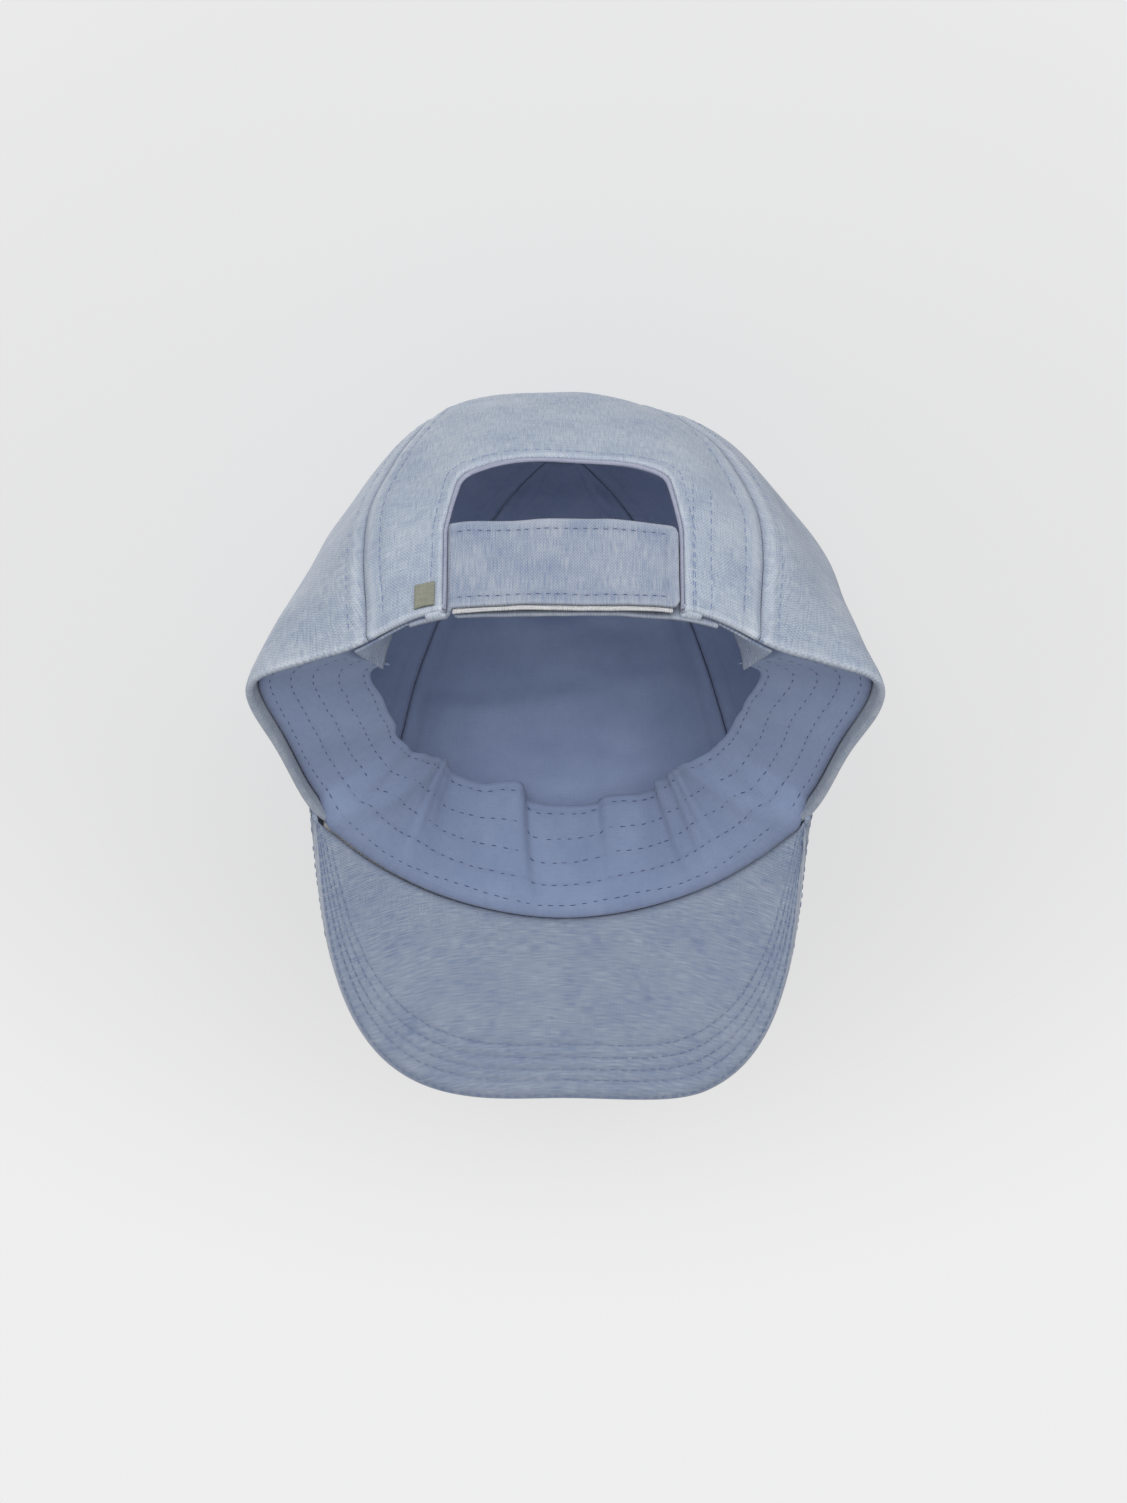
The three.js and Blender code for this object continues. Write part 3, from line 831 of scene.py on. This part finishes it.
def band_painted_shading(u, v):
    th, ph, front = band_where(u, v)
    # painted shade along the band's sewn lower edge and along each stitch row
    return 0.9 * np.exp(-(v / 0.05) ** 2) + 0.25 * sum(np.exp(-((v - r) / 0.012) ** 2) for r in BAND_ROWS)


BAND_ROWS = (0.09, 0.30, 0.51, 0.72, 0.93)
hold(cloth("sweatband_cloth", (330, 30), band_place, band_chart, BAND_CLOTH, 0.7, band_painted_shading),
     ["sweatband"])

# %% [markdown]
# Behind the band is a white non-woven strip that stiffens it.  Hardly any of it shows, but
# it is there to be found when the band is turned out.

# %% band interlining
FELT = cloth_finish("white non-woven", (0.70, 0.71, 0.73), (0.80, 0.80, 0.82), 1.1,
                    (0.5, 0.5), 0.4, 0.95, 0.4, 0.2)


def stiffener_place(u, v):
    return band_place(0.01 + 0.98 * u, 0.14 + 0.5 * v, 1.3)


hold(cloth("sweatband_stiffener", (200, 10), stiffener_place, band_chart, FELT, 0.4),
     ["sweatband_interlining"])

# %% [markdown]
# ## Rear facings
# Beside the arch the outer cloth is turned in and runs forward behind the band's ends, as
# a soft triangle of chambray on each side.

# %% facings
FLOP_FROM, FLOP_TO, FLOP_REACH = 33.0, 45.5, 17.0     # degrees round the rim, and mm


def facing(name, node, side):
    def where(u, v):
        x = (1 - u) if side > 0 else u
        th = 25.0 + (FLOP_TO - 25.0) * x
        flop = np.clip((th - FLOP_FROM) / (FLOP_TO - FLOP_FROM), 0, 1)
        return side * th * DEG, (0.9 + (BAND_TOP * (0.9 - 0.55 * flop) - 0.9) * v) * DEG, flop

    def place(u, v):
        th, ph, flop = where(u, v)
        p = crown(th, ph, -3.0 - 3.6 * v * v)
        soft = 1.1 * wave(p, 12, 12 + side) * flop
        return inwards(p, (FLOP_REACH * flop ** 0.75 + soft) * v, 0.25)

    def edge(u, v):
        # painted shade along the facing's free edge
        return 0.5 * np.exp(-((1 - v) / 0.05) ** 2)

    hold(cloth(name, (36, 26), place, lambda u, v: crown_chart(*where(u, v)[:2], side * 35),
               UNDER, 0.8, edge), [node])


facing("left_facing", "left_rear_facing", 1)
facing("right_facing", "right_rear_facing", -1)

# %% [markdown]
# ## Lip of the arch
# A narrow bias strip finishes the arch inside its rolled edge, so that two pale lips show
# side by side.  It is the same horseshoe line, a few millimetres wide.

# %% arch binding
def binding_where(u, v):
    q, side = np.abs(2 * u - 1), np.where(u < 0.5, 1.0, -1.0)
    roll = np.clip(v / 0.7, 0, 1) * math.pi
    inset = 0.1 + 0.95 * np.where(v < 0.7, np.sin(roll), 0) - np.where(v < 0.7, 0, (v - 0.7) / 0.3 * 3.5)
    x0, z0 = arch_point(q, 0.0)
    x1, z1 = arch_point(q, 1.0)
    x, z = x0 + (x1 - x0) * inset, z0 + (z1 - z0) * inset
    off = -1.2 + 0.6 * np.cos(roll)
    return side * x, np.maximum(z, LEG_LIFT + 0.3), off


def binding_place(u, v):
    return back_point(*binding_where(u, v))


hold(cloth("opening_binding_cloth", (150, 12), lambda u, v: binding_place(u, 1 - v),
           lambda u, v: np.stack([u * 150 + v * 3, v * 6 + u * 150], -1), BIAS, 0.45),
     ["opening_binding"])

# %% [markdown]
# ## The strap, the tab and their tapes
# The strap is sewn behind the wearer's left leg of the arch and closes over a tab that
# comes from the right leg.  White hook tape backs the strap and white loop tape faces the
# tab.  Both are bent once: a little waviness along the edges makes them cloth.

# %% strap shapes
STRAP_END, CORNER = 29.7, 2.2               # half the strap's length across the gap, mm


def strip_place(x_from, x_to, z_from, z_to, off, dive=0, sway=0.0, free=None, seed=3):
    """A strip across the gap.  Past x = 30 on the `dive` side it sinks behind the arch's leg."""
    middle, half = (z_from + z_to) / 2, (z_to - z_from) / 2

    def place(u, v):
        x, z = x_to + (x_from - x_to) * u, z_from + (z_to - z_from) * v
        if free is not None:                  # its free end has rounded corners
            near = np.clip(1 - np.abs(x - free) / CORNER, 0, 1)
            z = middle + (z - middle) * (1 - (1 - np.sqrt(1 - near ** 2)) * CORNER / half)
        z = z + sway * (0.6 * np.sin(x / 7.5 + seed) + 0.4 * np.sin(x / 3.4 + 2 * seed)) * (0.3 + 0.7 * v)
        under = smooth((x - 30.2) / 2.2) if dive else 0 * x
        wavy = 0.45 * np.sin(x / 6 + seed) * (v - 0.5) + 0.25 * wave(np.stack([x, z, 0 * x], -1), 7, seed)
        return back_point(x, z, off + wavy * (1 - under) - dive * under)
    return place


def strip_chart(length, height):
    return lambda u, v: np.stack([u * length, v * height], -1)


TAPE = cloth_finish("white tape", (0.55, 0.56, 0.58), (0.68, 0.68, 0.69), 1.6, (0.4, 0.4), 0.15, 0.8, 0.9, 0.3)
STRAP_WHERE = (-STRAP_END - 1.2, 42.7, 1.9, 26.4, 0.75, 3.6, 0.35, -STRAP_END - 1.2)


def strip_painted_shading(u, v):
    rim = np.minimum(np.minimum(v, 1 - v) * 25, np.minimum(u, 1 - u) * 60)
    # painted highlight along the strip's edges and painted shade along its stitch rows, about 2.9 mm in
    return -0.25 * np.exp(-(rim / 0.7) ** 2) + 0.5 * np.exp(-((rim - 2.9) / 0.5) ** 2)


def cross(piece, nodes):
    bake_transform(piece)
    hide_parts(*nodes)


strap = cloth("closure_strap_cloth", (120, 36), strip_place(*STRAP_WHERE),
              strip_chart(72, 25), STRAP_CLOTH, 1.0, strip_painted_shading)
cross(strap, ["closure_strap", "strap_root"])
hook = cloth("closure_hook_tape_strip", (90, 26), strip_place(-29.3, 29.9, 1.1, 22.4, -0.75, 0, 0.15),
             strip_chart(57, 22), TAPE, 0.7)
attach(hook, "closure_strap")
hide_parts("closure_hook_tape")
loop = cloth("loop_tape_strip", (90, 26), strip_place(-25.7, 28.2, 2.6, 22.9, -2.1, 0, 0.15, None, 5),
             strip_chart(54, 20), TAPE, 0.6)
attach(loop, "loop_tab")
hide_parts("loop_tape")
TAB_WHERE = (-42.7, STRAP_END + 0.6, 1.5, 24.4, -3.1, 0, 0.3, STRAP_END + 0.6, 6)
tab = cloth("loop_tab_cloth", (120, 32), strip_place(*TAB_WHERE),
            strip_chart(72, 24), STRAP_CLOTH, 0.9, strip_painted_shading)
cross(tab, ["loop_tab", "tab_root"])
print("strap, tab and tapes made")

# %% [markdown]
# ## The side tag
# A small plain woven tag is caught in the seam of the left leg.  It carries no words.

# %% tag
TAG = cloth_finish("olive tag", (0.15, 0.16, 0.12), (0.29, 0.29, 0.24), 3.2, (0.4, 0.8), 0.5, 0.75, 0.5)


def tag_place(u, v):
    return back_point(34.4 + 5.4 * (1 - u), 3.6 + 7.2 * v, 0.75 + 0.25 * np.sin(u * 3) * (1 - v))


tag = cloth("woven_tag", (14, 18), tag_place, strip_chart(6, 8), TAG, 0.4)
hold(tag, ["side_tag"])

# %% [markdown]
# ## The button
# A small dome covered in the outer cloth closes the top.  It is spun from a short profile,
# and its cloth is drawn into faint radial gathers at the edge.

# %% button
def to_apex(bm):
    top = Vector(lean_back(0, APEX_Y, CROWN_H) / 1000)
    turn = Matrix.Rotation(-TILT, 4, "X")
    bmesh.ops.transform(bm, matrix=Matrix.Translation(top) @ turn, verts=bm.verts)


bm = bmesh.new()
profile = [(7.3, 0.2), (7.75, 0.75), (7.7, 1.5), (7.1, 2.6), (6.0, 3.5), (4.4, 4.2), (2.4, 4.6), (0.02, 4.75)]
ring = [bm.verts.new((r / 1000, 0, z / 1000)) for r, z in profile]
edges = [bm.edges.new(pair) for pair in zip(ring, ring[1:])]
bmesh.ops.spin(bm, geom=ring + edges, cent=(0, 0, 0), axis=(0, 0, 1), angle=2 * math.pi, steps=72,
               use_merge=True)
bmesh.ops.remove_doubles(bm, verts=bm.verts, dist=2e-5)
for v in bm.verts:
    a, r = math.atan2(v.co.y, v.co.x), math.hypot(v.co.x, v.co.y) * 1000
    gather = 1 + 0.012 * math.sin(17 * a + 2 * math.sin(3 * a)) * smooth((r - 4) / 4)
    v.co.x, v.co.y = v.co.x * gather, v.co.y * gather
bmesh.ops.recalc_face_normals(bm, faces=bm.faces)
layer = bm.loops.layers.uv.new("cloth")
for face in bm.faces:
    for corner in face.loops:
        corner[layer].uv = corner.vert.co.xy
to_apex(bm)
button = as_piece("top_button_cloth", bm, CHAMBRAY)
finer = button.modifiers.new("finer", "SUBSURF")
finer.levels = finer.render_levels = 1
hold(button, ["top_button"])

# %% [markdown]
# ## The visor
# Two covers of chambray enclose a thin flexible board.  The surface is a bent sheet: level
# along its middle, falling at the sides, and joined to the rim along a curved seam.  The
# covers meet in a rounded edge, so their offset closes to nothing over the last millimetres.

# %% visor surface
VISOR = dict(corner=107, half=72.6, depth=122.6, n=2.8, droop=0.26, board=1.8, cover=0.9)


def visor_at(u, v, off=0.0):
    u, v = np.broadcast_arrays(np.asarray(u, float), np.asarray(v, float))
    corner = VISOR["corner"] * DEG
    s = crown_raw(math.pi - (math.pi - corner) * u, 0.4 * DEG)
    s = s + crown_normal(math.pi - (math.pi - corner) * u, 0.4 * DEG) * 0.7
    c = crown_raw(corner, 0.4 * DEG) + crown_normal(corner, 0.4 * DEG) * 0.5
    f = crown_raw(math.pi, 0.4 * DEG) + crown_normal(math.pi, 0.4 * DEG) * 0.5
    right = smooth(-u * 3)                    # the wearer's right of the tip is fuller and longer
    t, e = u * math.pi / 2, 2 / (VISOR["n"] + 0.25 * right)
    ox = VISOR["half"] * np.sign(t) * np.abs(np.sin(t)) ** e
    oy = c[1] - (VISOR["depth"] + 1.4 * right) * np.maximum(0, np.cos(t)) ** e
    tuck = 1 - 0.03 * smooth(-u * 2.5)       # the wearer's right corner is sewn in a little
    x = (s[..., 0] * (1 + tuck) / 2 + (ox * tuck - s[..., 0] * (1 + tuck) / 2) * v)
    y = s[..., 1] + (oy - s[..., 1]) * v
    bend = (f[2] + VISOR["droop"] * (c[1] - f[1]) - c[2]) / c[0] ** 2

    def height(px, py):
        return f[2] + 2.3 + VISOR["droop"] * (py - f[1]) - bend * px * px

    join = (s[..., 2] + 2.3 - height(s[..., 0], s[..., 1])) * (1 - v) ** 2
    k = smooth(v * 7)
    n = np.stack([2 * bend * x * k, -VISOR["droop"] * k, 0 * x + 1], -1)
    n = n / np.linalg.norm(n, axis=-1, keepdims=True)
    return np.stack([x, y, height(x, y) + join], -1) + n * np.asarray(off, float)[..., None], n


def edge_gap(u, v):
    """distance in from the visor's outline, mm"""
    p, e = visor_at(u, v)[0], visor_at(u, 1.0)[0]
    return np.linalg.norm(p - e, axis=-1)


def quilt(d):
    """the covers are pulled down along each row of stitches"""
    return sum(np.exp(-((d - r) / 1.1) ** 2) for r in VISOR_ROWS)


VISOR_ROWS = (2.2, 8.6, 12.9, 17.6, 22.4)
print("visor tip:", np.round(visor_at(0.0, 1.0)[0], 1))


# %% visor covers and board
def visor_cover(name, node, side, finish):
    half = VISOR["board"] / 2 + 0.3 + VISOR["cover"]

    def where(u, v):
        a = 0.992 * (1 - 2 * u) if side > 0 else 0.992 * (2 * u - 1)
        return a, v

    def place(u, v):
        a, v = where(u, v)
        d = edge_gap(a, v)
        round_edge = np.sqrt(np.clip(1 - (1 - np.minimum(d, 2.4) / 2.4) ** 2, 0, 1))
        puff = 0.5 * smooth(d / 6) - 0.28 * quilt(d) * smooth((v - 0.1) / 0.2)
        rumple = 0.18 * wave(np.stack([a * 70, v * 70, 0 * a + side * 9], -1), 13, 20 + side)
        ends = smooth((0.995 - np.abs(a)) / 0.03)
        closed = (0.1 + 0.9 * round_edge) * (0.06 + 0.94 * ends)
        off = side * (half * closed + (puff + rumple * round_edge) * ends)
        return visor_at(a, v, off)[0]

    def chart(u, v):
        p = visor_at(*where(u, v))[0]
        return np.stack([p[..., 0] * side, p[..., 1]], -1)

    def painted_shading_mask(u, v):
        a, v = where(u, v)
        d = edge_gap(a, v)
        # painted shade along the quilted stitch rows and at the root seam, painted highlight on the rounded
        # edge
        return 0.3 * quilt(d) - 0.9 * np.exp(-(d / 0.9) ** 2) + 0.8 * np.exp(-(v / 0.02) ** 2)

    hold(cloth(name, (150, 70), place, chart, finish, 0.7, painted_shading_mask), [node])


visor_cover("visor_top_cloth", "visor_top_cover", 1, CHAMBRAY)
visor_cover("visor_under_cloth", "visor_under_cover", -1, UNDER)

BOARD = cloth_finish("white visor board", (0.80, 0.80, 0.78), (0.86, 0.86, 0.84), 0.4,
                     (0.2, 0.2), 0.2, 0.5, 0.1, 0.0)


def board_place(u, v):
    a = 0.91 * (1 - 2 * u)
    return visor_at(a, 0.03 + 0.90 * v, 0.75 + 0 * a)[0]


hold(cloth("visor_board_sheet", (60, 26), board_place, strip_chart(140, 60), BOARD, 1.5),
     ["visor_board"])

# %% [markdown]
# ## Rivet
# The rivet under the button is the one metal part.  Its CAD shape is right, so it only gets
# a finish: dull steel with fine turning marks.

# %% rivet finish
STEEL = bpy.data.materials.new("dull steel")
STEEL.use_nodes = True
nodes, links = STEEL.node_tree.nodes, STEEL.node_tree.links
shader = nodes["Principled BSDF"]
shader.inputs["Metallic"].default_value = 1.0
where = nodes.new("ShaderNodeTexCoord")
marks = noise_at(nodes, links, stretched(nodes, links, where.outputs["Object"], (900, 900, 60)), 1.0, 4.0)
turned = blend_colour(nodes, links, marks, (0.36, 0.37, 0.39, 1), (0.62, 0.63, 0.65, 1))
links.new(turned, shader.inputs["Base Color"])
links.new(maths(nodes, links, "MULTIPLY_ADD", marks, 0.35, 0.25), shader.inputs["Roughness"])
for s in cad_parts["button_rivet"].material_slots:
    s.material = STEEL
print("rivet finished")

# %% [markdown]
# ## Thread
# Topstitching is a slate-blue thread, a little darker than the cloth.

# %% thread finish
def thread_finish(name, dark, light):
    m = bpy.data.materials.new(name)
    m.use_nodes = True
    nodes, links = m.node_tree.nodes, m.node_tree.links
    shader = nodes["Principled BSDF"]
    shader.inputs["Specular IOR Level"].default_value = 0.3
    where = nodes.new("ShaderNodeTexCoord")
    ply = noise_at(nodes, links, stretched(nodes, links, where.outputs["Object"], (1, 1, 1)), 700.0, 3.0)
    links.new(blend_colour(nodes, links, ply, (*dark, 1), (*light, 1)), shader.inputs["Base Color"])
    links.new(maths(nodes, links, "MULTIPLY_ADD", ply, 0.3, 0.5), shader.inputs["Roughness"])
    bump = nodes.new("ShaderNodeBump")
    bump.inputs["Distance"].default_value = 0.0001
    links.new(ply, bump.inputs["Height"])
    links.new(bump.outputs[0], shader.inputs["Normal"])
    return m


THREAD = thread_finish("slate blue thread", (0.10, 0.14, 0.26), (0.22, 0.28, 0.44))
# the band and strap thread is painted much darker than it is, as the shade of the needle dimples it sits in
DARKENED_BAND_THREAD = thread_finish("band thread darkened as dimple shade", (0.04, 0.055, 0.12), (0.09, 0.115, 0.21))
print("threads ready")

# %% [markdown]
# ## Sewing it together
# The rows follow the pieces they join: two beside each crown seam, one round the arch and
# two down its right leg, five along the band, four on the visor and one near its edge.

# %% crown stitches
def seam_rows():
    rows = []
    up = np.linspace(3.5, 80, 60) * DEG
    r = np.cos(up) ** RHO * 82 * DEG
    for s in SEAMS:
        for beside in (-5.6, 5.6):
            rows.append(row_on((s + beside / r) * DEG, up, 0.02))
    return rows


hold(sew("crown_topstitching", seam_rows(), THREAD, 2.2, 1.0, 0.17))


ARCH_ROW = 2.9                             # how far outside the arch its row of stitches runs, mm


def arch_rows():
    rows = []
    q = np.linspace(0, 0.985, 90)
    x, z = arch_point(q, -ARCH_ROW)
    for side in (1, -1):
        rows.append(row_on(*back_at(side * x, np.maximum(z, CLEAR_OF_RIM)), 0.0))
    for x in (34.6, 39.6):
        z = np.linspace(CLEAR_OF_RIM, 44, 40)
        rows.append(row_on(*back_at(-x - 0.02 * z, z), 0.0))
    return rows


hold(sew("arch_topstitching", arch_rows(), THREAD, 2.0, 0.9, 0.17))

# %% band stitches
u = np.linspace(0.004, 0.996, 420)


def band_row(v0, wobble):
    v = v0 + wobble * np.sin(u * 40 + v0 * 30) * 0.012
    p = band_place(u, v)
    along, up = band_place(u + 1e-3, v) - p, band_place(u, v + 1e-2) - p
    n = np.cross(along, up)
    n = n / np.linalg.norm(n, axis=-1, keepdims=True)
    toward = np.sign(np.sum(n * (np.array([0, 0, 40.0]) - p), axis=-1, keepdims=True))
    n = n * toward
    return p + n * 0.62, n


hold(sew("sweatband_stitching", [band_row(v0, 1) for v0 in BAND_ROWS], DARKENED_BAND_THREAD, 1.9, 1.5, 0.2))


# %% visor stitches
def outline_rows(side):
    rows = []
    half = VISOR["board"] / 2 + 0.3 + VISOR["cover"] + 0.28
    for d in VISOR_ROWS:
        a = np.linspace(-0.985, 0.985, 260)
        length = np.linalg.norm(visor_at(a, 1.0)[0] - visor_at(a, 0.0)[0], axis=-1)
        v = 1 - d / length
        keep = v > 0.04
        p, n = visor_at(a[keep], v[keep], side * half + 0 * a[keep])
        rows.append((p, side * n))
    return rows


hold(sew("visor_top_stitching", outline_rows(1), THREAD, 2.1, 1.0, 0.17))
hold(sew("visor_under_stitching", outline_rows(-1), THREAD, 2.1, 1.0, 0.17))


# %% strap stitches
def strap_rows():
    rows = []
    place = strip_place(*STRAP_WHERE)
    for v0 in (0.115, 0.885):
        uu = np.linspace(0.19, 0.965, 160)
        p = place(uu, v0 + 0 * uu)
        rows.append((p, np.stack([0 * uu, 0 * uu + 0.96, 0 * uu - 0.28], -1)))
    return rows


strap_sewing = sew("strap_stitching", strap_rows(), DARKENED_BAND_THREAD, 1.3, 1.3, 0.17)
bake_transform(strap_sewing)

# %% [markdown]

# %% [markdown]
# ## Table and light
# The cap lies on its crown on a pale table, and is also looked at upright, so there are
# two table tops: one under the visor and one above the button.  Each shows only on the side
# that faces the cap and fades into the pale room, so no edge or horizon is ever seen.

# %% stage
def table_top(name, centre, facing, tone, glow):
    bm = bmesh.new()
    bmesh.ops.create_grid(bm, x_segments=2, y_segments=2, size=1.0)
    lay = Vector(facing).to_track_quat("Z", "Y").to_matrix().to_4x4()
    bmesh.ops.transform(bm, matrix=Matrix.Translation(centre) @ lay, verts=bm.verts)
    m = bpy.data.materials.new(name + " paint")
    m.use_nodes = True
    nodes, links = m.node_tree.nodes, m.node_tree.links
    paint, out = nodes["Principled BSDF"], nodes["Material Output"]
    paint.inputs["Roughness"].default_value = 0.9
    paint.inputs["Specular IOR Level"].default_value = 0.0
    paint.inputs["Emission Color"].default_value = (*glow, 1)
    paint.inputs["Emission Strength"].default_value = 1.0
    where = nodes.new("ShaderNodeTexCoord")
    spread = nodes.new("ShaderNodeVectorMath")
    spread.operation = "DISTANCE"
    spread.inputs[1].default_value = centre
    links.new(where.outputs["Object"], spread.inputs[0])
    grain = noise_at(nodes, links, where.outputs["Object"], 8.0, 2.0)
    shade = tuple(t * 0.985 for t in tone)
    links.new(blend_colour(nodes, links, grain, (*tone, 1), (*shade, 1)), paint.inputs["Base Color"])
    fade = nodes.new("ShaderNodeMapRange")
    fade.interpolation_type = "SMOOTHSTEP"
    fade.inputs["From Min"].default_value, fade.inputs["From Max"].default_value = 0.16, 0.36
    links.new(spread.outputs["Value"], fade.inputs["Value"])
    behind = nodes.new("ShaderNodeNewGeometry")
    hidden = maths(nodes, links, "MAXIMUM", behind.outputs["Backfacing"], fade.outputs[0])
    clear, mix = nodes.new("ShaderNodeBsdfTransparent"), nodes.new("ShaderNodeMixShader")
    links.new(hidden, mix.inputs[0])
    links.new(paint.outputs[0], mix.inputs[1])
    links.new(clear.outputs[0], mix.inputs[2])
    links.new(mix.outputs[0], out.inputs["Surface"])
    piece = as_piece(name, bm, m)
    for ray in ("diffuse", "glossy", "transmission", "shadow", "volume_scatter"):
        setattr(piece, "visible_" + ray, False)
    return piece


LEAN = 11 * DEG                            # so that it clears the crown and is seen only from below
facing = Vector((0, math.sin(LEAN), -math.cos(LEAN)))
touch = Vector((0, -0.012, 0.1335))
table_top("floor", (0, -0.02, 0), (0, 0, 1), (0.50, 0.50, 0.50), (0.25, 0.25, 0.252))
table_top("table_behind", touch, facing, (0.26, 0.26, 0.26), (0.53, 0.53, 0.532))

room = bpy.data.worlds.new("pale room")
bpy.context.scene.world = room
room.use_nodes = True
nodes, links = room.node_tree.nodes, room.node_tree.links
seen = nodes["Background"]
seen.inputs[0].default_value = (0.86, 0.86, 0.862, 1)
fill = nodes.new("ShaderNodeBackground")
fill.inputs[0].default_value = (0.62, 0.62, 0.625, 1)
ray, pick = nodes.new("ShaderNodeLightPath"), nodes.new("ShaderNodeMixShader")
links.new(ray.outputs["Is Camera Ray"], pick.inputs[0])
links.new(fill.outputs[0], pick.inputs[1])
links.new(seen.outputs[0], pick.inputs[2])
links.new(pick.outputs[0], nodes["World Output"].inputs["Surface"])
bpy.context.scene.view_settings.view_transform = "Standard"


def soft_light(name, direction, power, size, distance=1.6):
    data = bpy.data.lights.new(name, "AREA")
    data.energy, data.size = power, size
    lamp = bpy.data.objects.new(name, data)
    bpy.context.scene.collection.objects.link(lamp)
    way = Vector(direction).normalized()
    lamp.location = Vector((0, 0, 0.05)) + way * distance
    lamp.rotation_euler = way.to_track_quat("Z", "Y").to_euler()
    lamp.visible_camera = False
    return lamp


soft_light("key light", TOWARDS * 0.90 + ABOVE * 0.43, 23, 1.3)
soft_light("light above", (0.5, -0.7, 1.2), 22, 1.2)
print("stage and light ready")
